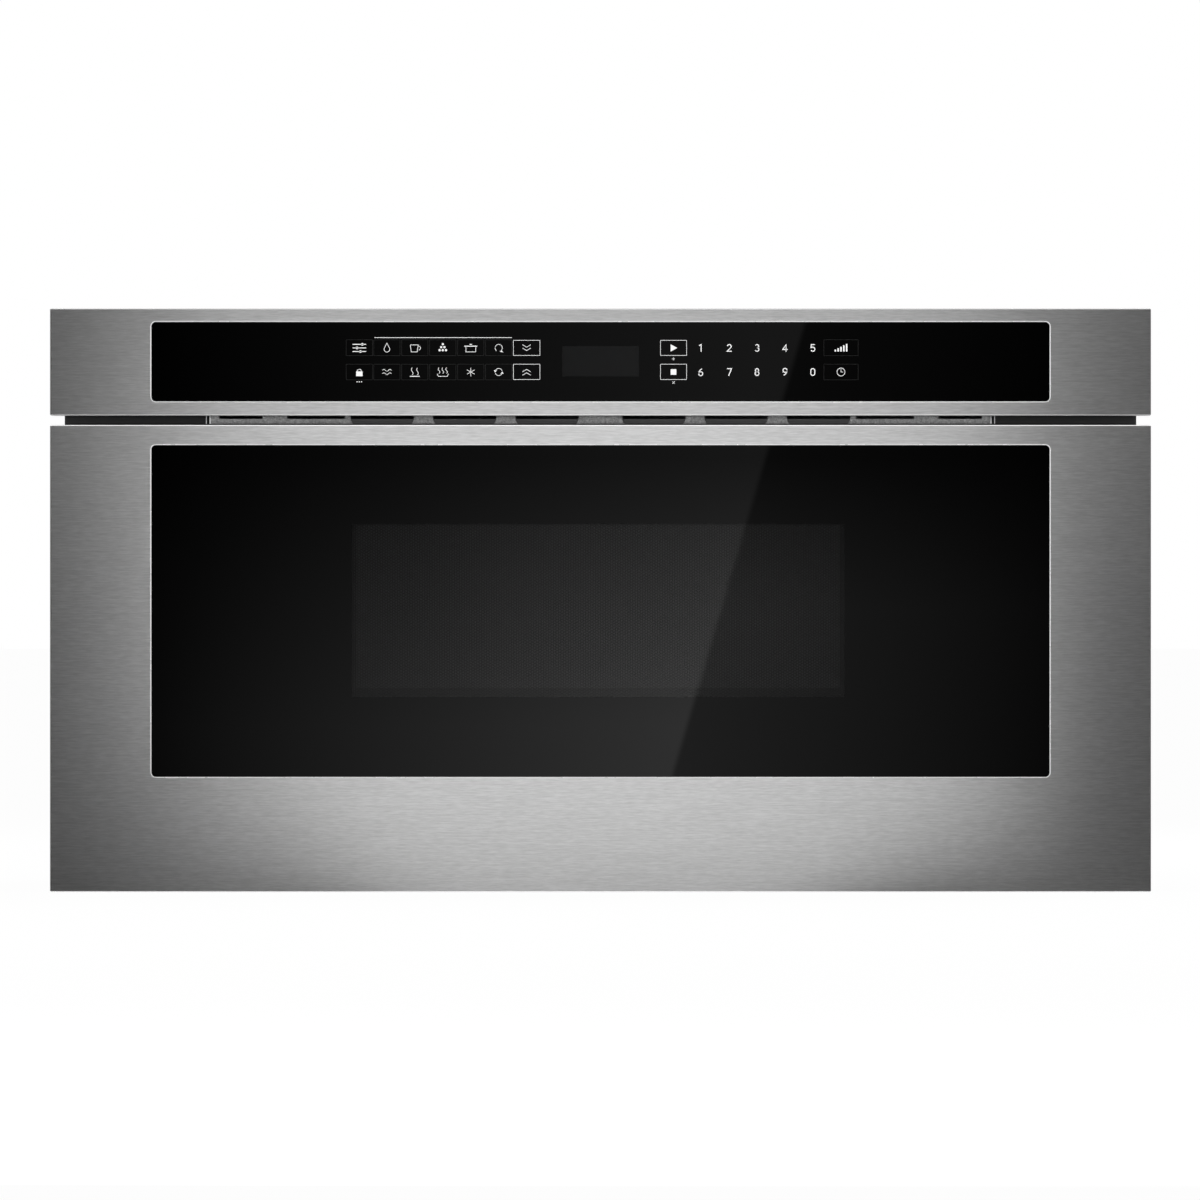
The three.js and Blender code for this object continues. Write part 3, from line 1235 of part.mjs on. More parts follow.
// Spur gear outline round the origin, one tooth centred on `phase`.
function gearShape(teeth, module, phase) {
  const side = flank(teeth, module);
  const points = [];
  for (let i = 0; i < teeth; i++) {
    const middle = phase + (i * 2 * Math.PI) / teeth;
    for (const [angle, r] of side) {
      points.push(new THREE.Vector2(r * Math.cos(middle - angle), r * Math.sin(middle - angle)));
    }
    for (const [angle, r] of [...side].reverse()) {
      points.push(new THREE.Vector2(r * Math.cos(middle + angle), r * Math.sin(middle + angle)));
    }
  }
  return new THREE.Shape(points);
}

// A gear on an axis along X, from x0 to x1. Its outline's axes become Y and Z.
function gear(teeth, module, phase, x0, x1) {
  const geometry = new THREE.ExtrudeGeometry(gearShape(teeth, module, phase), {
    depth: x1 - x0,
    bevelEnabled: false,
  });
  geometry.rotateX(Math.PI / 2);
  geometry.rotateZ(Math.PI / 2);
  geometry.translate(x0, 0, 0);
  return solid(geometry);
}

const up = Math.PI / 2;
const rearward = 0;

// Pinion under the rack and the larger gear beside it, on one shaft.
function driveGear() {
  const pinion = gear(PINION_TEETH, PINION_MODULE, up, -PINION_WIDTH / 2, PINION_WIDTH / 2);
  const wheel = gear(GEAR_TEETH, GEAR_MODULE, rearward, gearLeft, gearRight);
  const sleeveRadius = SHAFT_RADIUS + DRIVE_SLEEVE_WALL;
  const sleeve = bar("x", sleeveRadius, gearRight - SINK, -PINION_WIDTH / 2 + SINK, 0, 0);
  const shaftEnd = driveRight + DRIVE_PLATE + DRIVE_SHAFT_OUT;
  const shaft = bar("x", SHAFT_RADIUS, driveLeft - DRIVE_SHAFT_OUT, shaftEnd, 0, 0);
  return join(pinion, wheel, sleeve, shaft);
}

// The motor's pinion and shaft; half a tooth is turned so that it meshes with the wheel.
function motorPinion() {
  const half = Math.PI / MOTOR_TEETH;
  const pinion = gear(MOTOR_TEETH, GEAR_MODULE, Math.PI + half, gearLeft, gearRight);
  const shaftStart = driveLeft - DRIVE_MOTOR_LENGTH + DRIVE_SHAFT_END;
  const shaft = bar("x", SHAFT_RADIUS, shaftStart, gearRight + DRIVE_SHAFT_PAST, 0, 0);
  return join(pinion, shaft);
}

// Rack under the oven: a bar with teeth along its underside, a gap over the pinion's top tooth.
function driveRack() {
  const pitch = Math.PI * PINION_MODULE;
  const front = doorBack + SEAT_GAP;
  const tip = rackLine - TOOTH_ADDENDUM * PINION_MODULE;
  const root = rackLine + TOOTH_DEDENDUM * PINION_MODULE;
  const slope = Math.tan(PRESSURE_ANGLE);
  const half = pitch / 4 - BACKLASH / 4;
  const first = Math.ceil((front + pitch - DRIVE_AXIS_Y) / pitch);
  const last = Math.floor((rackRear - pitch - DRIVE_AXIS_Y) / pitch);
  const points = [new THREE.Vector2(rackRear, root), new THREE.Vector2(rackRear, rackTop)];
  points.push(new THREE.Vector2(front, rackTop), new THREE.Vector2(front, root));
  for (let i = first; i < last; i++) {
    const middle = DRIVE_AXIS_Y + (i + 0.5) * pitch;
    const rootHalf = half + (root - rackLine) * slope;
    const tipHalf = half - (rackLine - tip) * slope;
    points.push(new THREE.Vector2(middle - rootHalf, root), new THREE.Vector2(middle - tipHalf, tip));
    points.push(new THREE.Vector2(middle + tipHalf, tip), new THREE.Vector2(middle + rootHalf, root));
  }
  const geometry = new THREE.ExtrudeGeometry(new THREE.Shape(points.reverse()), {
    depth: RACK_WIDTH,
    bevelEnabled: false,
  });
  geometry.rotateX(Math.PI / 2);
  geometry.rotateZ(Math.PI / 2);
  geometry.translate(-RACK_WIDTH / 2, 0, 0);
  return solid(geometry);
}

// Bent plate on the base that holds the gear's shaft between two cheeks, and the motor.
function driveBracket() {
  const rear = motorAxisY + DRIVE_MOTOR_RADIUS;
  const outside = driveRight + DRIVE_PLATE;
  const front = DRIVE_AXIS_Y - DRIVE_CHEEK_FRONT;
  const [leftTop, rightTop] = DRIVE_CHEEK_TOPS.map((above) => DRIVE_AXIS_Z + above);
  const left = block(driveLeft, driveLeft + DRIVE_PLATE, front, rear, bodyBottom, leftTop);
  const right = block(driveRight, outside, front, front + DRIVE_CHEEK_DEPTH, bodyBottom, rightTop);
  const floor = block(driveLeft, outside, front, rear, bodyBottom, bodyBottom + DRIVE_PLATE);
  const shaftRoom = SHAFT_RADIUS + RUNNING_GAP;
  const motorRoom = SHAFT_RADIUS + DRIVE_MOTOR_HOLE;
  const before = driveLeft - CUT_PAST;
  const gearHole = bar("x", shaftRoom, before, outside + CUT_PAST, DRIVE_AXIS_Y, DRIVE_AXIS_Z);
  const motorHole = bar("x", motorRoom, before, driveLeft + CUT_PAST, motorAxisY, DRIVE_AXIS_Z);
  return cut(join(left, right, floor), gearHole, motorHole);
}

function driveMotor() {
  const face = driveLeft - SEAT_GAP;
  const rear = face - DRIVE_MOTOR_LENGTH;
  const [bossRadius, bossLength] = DRIVE_MOTOR_BOSS;
  const can = bar("x", DRIVE_MOTOR_RADIUS, rear, face, 0, 0, 20);
  const boss = bar("x", bossRadius, rear - bossLength, rear + SINK, 0, 0, 12);
  const boreEnd = rear + DRIVE_MOTOR_BORE_END;
  const bore = bar("x", SHAFT_RADIUS + RUNNING_GAP, boreEnd, face + CUT_PAST, 0, 0);
  return cut(can.add(boss), bore);
}

add(drawer, "drive_rack", whitePlastic, driveRack());
add(drive, "drive_bracket", zincSteel, driveBracket());
add(drive, "drive_gear", whitePlastic, driveGear(), [0, DRIVE_AXIS_Y, DRIVE_AXIS_Z]);
add(drive, "motor_pinion", aluminium, motorPinion(), [0, motorAxisY, DRIVE_AXIS_Z]);
add(drive, "drive_motor", zincSteel, driveMotor(), [0, motorAxisY, DRIVE_AXIS_Z]);

// ---------------------------------------------------------------- assembly

const assembly = new THREE.Group();
assembly.add(body, slides, drive, drawer);

export default assembly;
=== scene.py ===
"""Looks of a built-in microwave oven drawer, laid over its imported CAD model.

Metres, +X right, +Y into the cabinet, +Z up, in the frame of the model.
"""

import math

import bmesh
import bpy
from bpy.props import FloatProperty, FloatVectorProperty, PointerProperty
from bpy.types import Operator, Panel, PropertyGroup
from mathutils import Matrix, Vector


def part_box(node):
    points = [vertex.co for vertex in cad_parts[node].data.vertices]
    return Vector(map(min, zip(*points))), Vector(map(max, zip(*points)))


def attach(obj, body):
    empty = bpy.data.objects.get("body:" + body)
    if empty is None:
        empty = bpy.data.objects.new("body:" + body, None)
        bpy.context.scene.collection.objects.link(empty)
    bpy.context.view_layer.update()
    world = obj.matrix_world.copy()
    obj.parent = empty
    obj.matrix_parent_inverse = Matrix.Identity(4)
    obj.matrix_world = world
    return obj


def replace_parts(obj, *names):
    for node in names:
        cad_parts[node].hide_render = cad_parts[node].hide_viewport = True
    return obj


bl_info = {
    "name": "Microwave drawer",
    "version": (1, 0, 0),
    "blender": (4, 5, 0),
    "location": "View3D > Sidebar > Microwave drawer",
    "description": "Finishes and fine pieces of a built-in microwave oven drawer",
    "category": "Add Mesh",
}

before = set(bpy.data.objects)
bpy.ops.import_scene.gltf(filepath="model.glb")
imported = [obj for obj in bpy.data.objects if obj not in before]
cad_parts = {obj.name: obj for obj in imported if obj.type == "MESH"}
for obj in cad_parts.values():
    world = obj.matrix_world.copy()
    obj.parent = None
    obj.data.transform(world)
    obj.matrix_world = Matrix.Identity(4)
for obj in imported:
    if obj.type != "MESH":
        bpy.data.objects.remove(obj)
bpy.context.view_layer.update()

MM = 0.001
CASE = "case"
DRAWER = "drawer"


def grey(level):
    return (level, level, level)


# ---- places taken from the model


class Box:
    """Limits of one node of the model, in metres."""

    def __init__(self, node):
        (self.x0, self.y0, self.z0), (self.x1, self.y1, self.z1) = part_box(node)

    def front(self, margin=0.0):
        """x0, x1, z0 and z1 of its front, with a margin all round."""
        return self.x0 - margin, self.x1 + margin, self.z0 - margin, self.z1 + margin


drawer_skin = Box("drawer_skin")
control_skin = Box("control_bezel")
drawer_glass = Box("drawer_glass")
control_glass = Box("control_glass")
display = Box("display_module")
front_plate = Box("cavity_front_plate")
grille = Box("vent_grille")
bin_box = Box("drawer_bin")
tray_box = Box("bin_tray")
top_cover = Box("top_cover")
side_panel = Box("right_side_panel")
rear_panel = Box("rear_panel")

centre_z = (drawer_skin.z0 + control_skin.z1) / 2
front_width = drawer_skin.x1 - drawer_skin.x0

# The photograph is 1200 pixels wide and shows the front straight on.
PHOTO_SIZE = 1200
FRONT_LEFT, FRONT_RIGHT, FRONT_TOP = 50.0, 1151.0, 308.3
PIXEL = front_width / (FRONT_RIGHT - FRONT_LEFT)


def photo_x(column):
    """X of a column of the photograph, on the front."""
    return (column - (FRONT_LEFT + FRONT_RIGHT) / 2) * PIXEL


def photo_z(row):
    """Z of a row of the photograph, on the front."""
    return control_skin.z1 - (row - FRONT_TOP) * PIXEL


def photo_box(column0, column1, row0, row1):
    """x0, x1, z0 and z1 of what lies between columns and rows of the photograph."""
    return photo_x(column0), photo_x(column1), photo_z(row1), photo_z(row0)


# The window's columns and rows: with its denser border, and its clear part.
WINDOW_BORDER = (351.8, 844.6, 523.8, 697.0)
WINDOW_CLEAR = (356.3, 839.6, 525.3, 688.0)
BORDER_SHARE = 0.66


# ---- settings


def length(name, text, default):
    return FloatProperty(
        name=name, description=text, default=default, min=0, unit="LENGTH", precision=5
    )


def colour(name, text, default):
    return FloatVectorProperty(
        name=name, description=text, default=default, min=0, max=1, size=3, subtype="COLOR"
    )


class FrontSettings(PropertyGroup):
    """Sizes and colours of the front."""

    edge_radius: length("Edge radius", "Rounding of the skins' outer edges", 0.8 * MM)
    sheet: length("Sheet", "Thickness of the skins", 1.2 * MM)
    glass_gap: length("Glass gap", "Skin's opening to the glass", 0.3 * MM)
    glass_corner: length("Glass corner", "Corner radius of both glasses", 3 * MM)
    rim_width: length("Rim width", "Polished edge round each glass", 0.8 * MM)
    rim_rise: length("Rim rise", "Polished edge in front of the skin", 0.2 * MM)
    stroke: length("Stroke", "Width of the printed lines", 0.35 * MM)
    steel: colour("Steel", "Brushed steel", grey(0.6))
    window_tint: colour("Window tint", "What the window's glass lets through", grey(0.45))
    display_tint: colour("Display tint", "What the display's glass lets through", grey(0.45))
    print_colour: colour("Print", "Ink of the keys", grey(0.7))


class CaseSettings(PropertyGroup):
    """Sizes and colours of the case, the oven and the drawer's inside."""

    bead_height: length("Bead height", "Pressed beads in the case's panels", 2.4 * MM)
    bead_width: length("Bead width", "Width of those beads", 14 * MM)
    screw_radius: length("Screw head", "Radius of the case screws' heads", 4 * MM)
    bin_corner: length("Bin corner", "Radius of the bin's rear corners inside", 16 * MM)
    zinc: colour("Zinc", "Zinc-coated sheet", (0.52, 0.53, 0.54))
    enamel: colour("Enamel", "Oven walls", grey(0.17))
    paint: colour("Paint", "Mounting frame", grey(0.03))


class StageSettings(PropertyGroup):
    """Camera and light."""

    camera_distance: length("Camera distance", "Camera to the front", 12.0)
    card_distance: length("Card distance", "Reflection cards to the front", 1.7)
    world_light: FloatProperty(
        name="World light", description="Strength of the white surroundings as light", default=0.6
    )
    white: colour("White", "Background and floor", grey(1.0))


def settings():
    return bpy.context.scene.microwave_drawer


# ---- materials


def joined(operation, turned=False):
    """A method that joins a Field with a number or a Field, in turned order if turned is True."""

    def method(self, other):
        return self.maths(operation, *((other, self) if turned else (self, other)))

    return method


class Field:
    """A value that varies over a surface: a shader socket with arithmetic."""

    def __init__(self, nodes, socket):
        self.nodes = nodes
        self.socket = socket

    def maths(self, operation, *terms):
        return self.nodes.node("ShaderNodeMath", {"operation": operation}, dict(enumerate(terms)))

    __add__ = __radd__ = joined("ADD")
    __mul__ = __rmul__ = joined("MULTIPLY")
    __sub__ = joined("SUBTRACT")
    __rsub__ = joined("SUBTRACT", turned=True)
    __truediv__ = joined("DIVIDE")
    __pow__ = joined("POWER")
    __mod__ = joined("FLOORED_MODULO")
    __gt__ = joined("GREATER_THAN")
    __lt__ = joined("LESS_THAN")
    at_most = joined("MINIMUM")
    at_least = joined("MAXIMUM")

    def __abs__(self):
        return self.maths("ABSOLUTE", self)

    def floor(self):
        return self.maths("FLOOR", self)

    def clamp(self):
        return self.at_least(0).at_most(1)

    def bell(self, centre, width):
        """1 at the centre, falling off smoothly over the width."""
        offset = (self - centre) / width
        return self.maths("EXPONENT", offset * offset * -1)

    def step(self, start, end):
        """0 at start to 1 at end, smoothly."""
        t = ((self - start) / (end - start)).clamp()
        return t * t * (3 - 2 * t)


class Nodes:
    """The nodes of a material or of the world."""

    def __init__(self, made):
        made.use_nodes = True
        self.made = made
        self.tree = made.node_tree
        self.tree.nodes.clear()

    def node(self, kind, options=None, values=None, output=0):
        """Adds a node and gives its output as a Field."""
        made = self.tree.nodes.new(kind)
        for name, value in (options or {}).items():
            setattr(made, name, value)
        for key, value in (values or {}).items():
            if isinstance(value, Field):
                self.tree.links.new(value.socket, made.inputs[key])
            else:
                made.inputs[key].default_value = value
        return None if output is None else Field(self, made.outputs[output])

    def outputs(self, kind, names, values=None):
        """Several outputs of one node."""
        made = self.node(kind, None, values).socket.node
        return [Field(self, made.outputs[name]) for name in names]

    def shown(self):
        """1 for what is seen, also in mirrors and through glass, 0 for what only gives light."""
        kinds = ("Is Camera Ray", "Is Glossy Ray", "Is Transmission Ray")
        camera, mirror, through = self.outputs("ShaderNodeLightPath", kinds)
        return camera.at_least(mirror).at_least(through)


class Finish(Nodes):
    """One material."""

    def __init__(self, name):
        super().__init__(bpy.data.materials.new(name))
        self.place = self.node("ShaderNodeTexCoord", output="Object")
        self.x, self.y, self.z = self.outputs("ShaderNodeSeparateXYZ", range(3), {0: self.place})

    def noise(self, scale, detail=2.0, roughness=0.5):
        """Noise from 0 to 1 that changes scale times per metre, with one scale or one per axis."""
        scale = scale if isinstance(scale, tuple) else (scale,) * 3
        place = self.node("ShaderNodeMapping", None, {"Vector": self.place, "Scale": scale})
        values = {"Vector": place, "Scale": 1.0, "Detail": detail, "Roughness": roughness}
        return self.node("ShaderNodeTexNoise", None, values, "Fac")

    def cells(self, scale, output="Distance"):
        values = {"Vector": self.place, "Scale": scale}
        return self.node("ShaderNodeTexVoronoi", None, values, output)

    def mix(self, factor, first, second):
        """One colour where factor is 0, another where it is 1."""
        colours = [c if isinstance(c, Field) else (*c, 1.0) for c in (first, second)]
        values = {0: factor, 6: colours[0], 7: colours[1]}
        return self.node("ShaderNodeMix", {"data_type": "RGBA"}, values, 2)

    def shade(self, base, amount, spread):
        """A colour made darker and lighter by up to spread as amount goes from 0 to 1."""
        dark = tuple(c * (1 - spread) for c in base)
        light = tuple(min(1.0, c * (1 + spread)) for c in base)
        return self.mix(amount, dark, light)

    def bump(self, height, depth):
        values = {"Height": height, "Distance": depth, "Strength": 1.0}
        return self.node("ShaderNodeBump", None, values)

    def surface(self, base, roughness, metallic=0.0, normal=None, **constants):
        """The material with these values; constants are sockets, with _ for a space."""
        values = {
            "Base Color": base if isinstance(base, Field) else (*base, 1.0),
            "Roughness": roughness,
            "Metallic": metallic,
        }
        if normal:
            values["Normal"] = normal
        for name, value in constants.items():
            values[name.replace("_", " ")] = value
        return self.output(self.node("ShaderNodeBsdfPrincipled", None, values))

    def output(self, shader):
        self.node("ShaderNodeOutputMaterial", None, {"Surface": shader}, None)
        return self.made


# Where a skin's painted edge highlight and painted end shade begin and are full, from its limit.
EDGE_HIGHLIGHT = (-0.75 * MM, -0.6 * MM)
END_SHADE = (-0.75 * MM, -0.55 * MM)
FACE_DEPTH = 1.2 * MM


def brushed_steel(name, skin, shade, edge, painted_top_shade=0.0):
    """Steel brushed along X, with a painted highlight of the grey edge on its long edges.

    The brushing draws reflections out up and down. The last argument is how much painted shade
    darkens its top's middle.
    """
    f = Finish(name)
    fine = f.noise((120, 120, 1300), 3, 0.6)
    long = f.noise((22, 22, 800), 2)
    cloud = f.noise((6, 6, 9), 2)
    grain = fine * 0.7 + long * 0.3
    middle, half = (skin.z0 + skin.z1) / 2, (skin.z1 - skin.z0) / 2
    front = f.y < skin.y0 + FACE_DEPTH
    # Painted highlight along the front face's long edges, and painted shade at its short ends.
    edge_highlight = (abs(f.z - middle) - half).step(*EDGE_HIGHLIGHT) * front
    turned = (abs(f.x) - skin.x1).step(*END_SHADE) * front
    base = f.shade([c * shade for c in settings().front.steel], grain.step(0.25, 0.75), 0.14)
    # Painted shade on the middle of its top.
    if painted_top_shade:
        up = ((f.z - skin.z0) / (skin.z1 - skin.z0)).clamp()
        base = f.mix(f.x.bell(0, 0.35) * up * painted_top_shade, base, grey(0.0))
    base = f.mix(turned, base, grey(0.22))
    base = f.mix(edge_highlight, base, grey(edge))
    normal = f.bump(grain, 0.02 * MM)
    rough = (0.27 + grain * 0.05 + cloud * 0.02) * (1 - edge_highlight * 0.3)
    metal = 1 - edge_highlight * 0.5
    return f.surface(base, rough, metal, normal, Anisotropic=1.0, Anisotropic_Rotation=0.25)


def rim_highlight():
    """Cut edge of the glass rims, painted light grey and half metal as a highlight that shows from
    every side.
    """
    f = Finish("rim_highlight")
    streaks = f.noise(60, 2)
    return f.surface(f.shade(grey(0.78), streaks, 0.05), 0.22 + streaks * 0.1, 0.5)


def glass(name, windows):
    """Glass printed black on its back, clear in the windows: (x0, x1, z0, z1, tint)."""
    f = Finish(name)
    base = grey(0.0)
    for x0, x1, z0, z1, tint in windows:
        inside = (f.x > x0) * (f.x < x1) * (f.z > z0) * (f.z < z1)
        base = f.mix(inside, base, tint)
    haze = f.noise(30, 3)
    rough = 0.006 + haze * 0.012
    return f.surface(base, rough, Transmission_Weight=1.0, IOR=1.5)


def ink(name, base):
    """Screen-printed ink."""
    f = Finish(name)
    speckle = f.noise(3000, 2)
    return f.surface(f.shade(base, speckle, 0.06), 0.5)


def perforated():
    """Dark sheet with round holes in staggered columns, 2 mm apart."""
    f = Finish("window_screen_paint")
    pitch, column_pitch, hole = 1.97 * MM, 1.71 * MM, 0.62 * MM
    column = (f.x / column_pitch).floor()
    up = ((f.z / pitch + (column % 2.0) * 0.5) % 1.0 - 0.5) * pitch
    across = ((f.x / column_pitch) % 1.0 - 0.5) * column_pitch
    solid = (across * across + up * up) > hole * hole
    wear = f.noise(400, 2)
    base = f.shade(grey(0.018), wear, 0.2)
    return f.surface(base, 0.5, Alpha=solid, Specular_IOR_Level=0.3)


def frame_paint():
    """Black powder coat, with a painted highlight along the mouth's cut edges."""
    f = Finish("frame_paint")
    orange_peel = f.noise(900, 3)
    blotch = f.noise(12, 2)
    # Painted highlight: a light grey line along the mouth's cut edges.
    mouth = front_plate.x1 - 3.7 * MM
    beyond = abs(f.x) - mouth
    mouth_highlight = beyond.step(-0.1 * MM, 0.1 * MM) * (1 - beyond.step(0.5 * MM, 0.7 * MM))
    mouth_highlight = mouth_highlight * (f.z > front_plate.z0) * (f.z < grille.z1)
    paint = settings().case.paint
    base = f.mix(mouth_highlight, f.shade(paint, blotch, 0.25), grey(0.85))
    normal = f.bump(orange_peel, 0.03 * MM)
    return f.surface(base, 0.42 + blotch * 0.12, 0.0, normal)


def textured_enamel():
    """Grey wrinkle finish of the grille and the oven's front plate.

    It has a painted highlight near their ends, painted shadow beyond, and painted shade by the
    drawer's top edge.
    """
    f = Finish("grille_enamel")
    wrinkle = f.noise(650, 4, 0.6)
    spots = f.noise(1800, 2)
    # Painted shade in a band beside the drawer's top edge.
    drawer_edge_shade = f.z.bell(drawer_skin.z1 + 0.3 * MM, 3 * MM) * 0.5
    # A painted highlight line near the ends, and near black painted shadow beyond it.
    end = front_plate.x1 - 6.5 * MM
    bright = (abs(f.x) - end).step(-0.1 * MM, 0.1 * MM)
    dark = (abs(f.x) - end).step(1.0 * MM, 1.2 * MM)
    base = f.shade(grey(0.42), (wrinkle * 0.6 + spots * 0.4).step(0.3, 0.7), 0.48)
    base = f.mix(drawer_edge_shade, base, grey(0.05))
    base = f.mix(dark, f.mix(bright, base, grey(0.95)), grey(0.012))
    return f.surface(base, 0.5, 0.0, f.bump(wrinkle, 0.35 * MM))


def oven_enamel():
    f = Finish("oven_enamel")
    mottle = f.noise(35, 3)
    specks = f.cells(900).step(0.12, 0.2)
    base = f.mix(specks, grey(0.3), f.shade(settings().case.enamel, mottle, 0.15))
    normal = f.bump(f.noise(120, 2), 0.08 * MM)
    return f.surface(base, 0.22 + mottle * 0.1, 0.0, normal, Coat_Weight=0.4)


def galvanised(name="zinc_sheet"):
    """Zinc-coated sheet: a fine soft spangle, rolling marks along Y and a few scuffs."""
    f = Finish(name)
    spangle = f.node("ShaderNodeSeparateColor", None, {0: f.cells(170, "Color")})
    cloud = f.noise(7, 3)
    rolled = f.noise((260, 3, 260), 3)
    scuffs = f.noise((90, 14, 90), 4, 0.7).step(0.66, 0.72)
    tone = spangle * 0.3 + rolled * 0.35 + cloud * 0.35
    base = f.shade(settings().case.zinc, tone, 0.12)
    rough = 0.4 + spangle * 0.06 + cloud * 0.1 - scuffs * 0.1
    return f.surface(base, rough, 0.85, f.bump(rolled + spangle * 0.3, 0.01 * MM))


def plated(name, base=(0.6, 0.6, 0.58), rough=0.28):
    """Bright plated steel with handling marks."""
    f = Finish(name)
    smudge = f.noise(30, 4)
    drawn = f.noise((900, 12, 900), 2)
    normal = f.bump(drawn, 0.01 * MM)
    return f.surface(f.shade(base, smudge, 0.14), rough + smudge * 0.16, 1.0, normal)


def moulded(name, base, rough=0.45, texture=1400, depth=0.02, **constants):
    """Moulded plastic with a fine spark-eroded texture."""
    f = Finish(name)
    grain = f.noise(texture, 2)
    cloud = f.noise(9, 2)
    normal = f.bump(grain, depth * MM)
    return f.surface(f.shade(base, cloud, 0.1), rough + grain * 0.08, 0.0, normal, **constants)


def circuit_board():
    """Green solder mask over copper tracks."""
    f = Finish("circuit_board")
    tracks = abs(f.noise((60, 160, 60), 1) * 18 % 1.0 - 0.5) < 0.12
    mask = f.shade((0.012, 0.07, 0.028), f.noise(20, 2), 0.3)
    base = f.mix(tracks, mask, (0.03, 0.14, 0.05))
    return f.surface(base, 0.3, 0.0, f.bump(tracks, 0.03 * MM))


def glazed():
    """Off-white glass-ceramic with faint specks."""
    f = Finish("tray_glaze")
    specks = f.cells(450).step(0.06, 0.14)
    cloud = f.noise(14, 3)
    base = f.mix(specks, (0.5, 0.48, 0.44), f.shade((0.78, 0.77, 0.74), cloud, 0.04))
    return f.surface(base, 0.12 + cloud * 0.06, Coat_Weight=0.5, Coat_Roughness=0.03)


def layered(name, base, tint, scale):
    """Sheet or windings in fine layers, as light and dark lines across the axis of most scale."""
    f = Finish(name)
    lines = f.noise(scale, 2)
    normal = f.bump(lines, 0.2 * MM)
    return f.surface(f.mix(lines.step(0.35, 0.65), base, tint), 0.4 + lines * 0.2, 0.3, normal)


# ---- mesh tools


def piece_from(name, body, material, vertices, faces, slot, sharp):
    """A mesh piece that rides on a body, its points given in the model's frame."""
    mesh = bpy.data.meshes.new(name)
    mesh.from_pydata([tuple(v) for v in vertices], [], faces)
    shape = bmesh.new()
    shape.from_mesh(mesh)
    bmesh.ops.remove_doubles(shape, verts=shape.verts, dist=1e-7)
    bmesh.ops.recalc_face_normals(shape, faces=shape.faces)
    shape.to_mesh(mesh)
    shape.free()
    mesh.shade_smooth()
    mesh.set_sharp_from_angle(angle=math.radians(sharp))
    mesh.materials.append(material)
    piece = bpy.data.objects.new(name, mesh)
    bpy.context.scene.collection.objects.link(piece)
    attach(piece, body)
    return piece


def arc(cx, cz, radius, start, end, steps):
    """Points of an arc between two angles in degrees."""
    turns = [math.radians(start + (end - start) * i / steps) for i in range(steps + 1)]
    return [(cx + radius * math.cos(t), cz + radius * math.sin(t)) for t in turns]


def rounded_loop(x0, x1, z0, z1, corner, y, steps=6):
    """Points of an upright rectangle with rounded corners, anticlockwise from its right side."""
    corner = max(corner, 0.02 * MM)
    left, right, low, high = x0 + corner, x1 - corner, z0 + corner, z1 - corner
    points = []
    for quarter, centre in enumerate(((right, high), (left, high), (left, low), (right, low))):
        bend = arc(*centre, corner, 90 * quarter, 90 * quarter + 90, steps)
        points += [(x, y, z) for x, z in bend]
    return points


def lofted(loops, closed=True, ring=True, ends=False):
    """Vertices and faces through loops of equal length.

    Closed joins the last loop to the first, ring joins each loop's end to its start, and ends adds
    a face across the first and the last loop.
    """
    count = len(loops[0])
    vertices = [p for loop in loops for p in loop]
    faces = []
    for i in range(len(loops) if closed else len(loops) - 1):
        here, there = i * count, ((i + 1) % len(loops)) * count
        for j in range(count if ring else count - 1):
            k = (j + 1) % count
            faces.append((here + j, here + k, there + k, there + j))
    if ends:
        n = len(vertices)
        faces += [tuple(range(count)), tuple(range(n - count, n))]
    return vertices, faces


class Heap:
    """Vertices and faces of several shapes gathered into one mesh."""

    def __init__(self):
        self.vertices = []
        self.faces = []

    def add(self, vertices, faces, place=None):
        start = len(self.vertices)
        self.vertices += [place @ Vector(v) if place else Vector(v) for v in vertices]
        self.faces += [tuple(start + i for i in face) for face in faces]

    def slab(self, outline, y0, y1):
        """A flat plate with an outline of (x, z) points."""
        n = len(outline)
        vertices = [(x, y0, z) for x, z in outline] + [(x, y1, z) for x, z in outline]
        sides = [(i, (i + 1) % n, n + (i + 1) % n, n + i) for i in range(n)]
        self.add(vertices, [tuple(range(n)), tuple(range(2 * n - 1, n - 1, -1)), *sides])

    def piece(self, name, body, material, slot, sharp=35):
        return piece_from(name, body, material, self.vertices, self.faces, slot, sharp)


def modify(piece, name, kind, **values):
    made = piece.modifiers.new(name, kind)
    for key, value in values.items():
        setattr(made, key, value)


def soften(node, radius, segments):
    """Rounds the edges of a node and shades its flats flat."""
    flat, sharp = math.radians(1), math.radians(35)
    modify(node, "join corners", "WELD", merge_threshold=1e-6)
    modify(node, "whole flats", "DECIMATE", decimate_type="DISSOLVE", angle_limit=flat)
    bevel = {"width": radius, "segments": segments, "limit_method": "ANGLE", "angle_limit": sharp}
    modify(node, "edge radius", "BEVEL", **bevel)
    modify(node, "shading", "WEIGHTED_NORMAL", weight=80)


def coat(names, material, edge=0.0, segments=2):
    """Gives nodes a material, and an edge radius if edge is given."""
    for name in names:
        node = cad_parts[name]
        node.data.materials.clear()
        node.data.materials.append(material)
        if edge:
            soften(node, edge, segments)


# ---- front


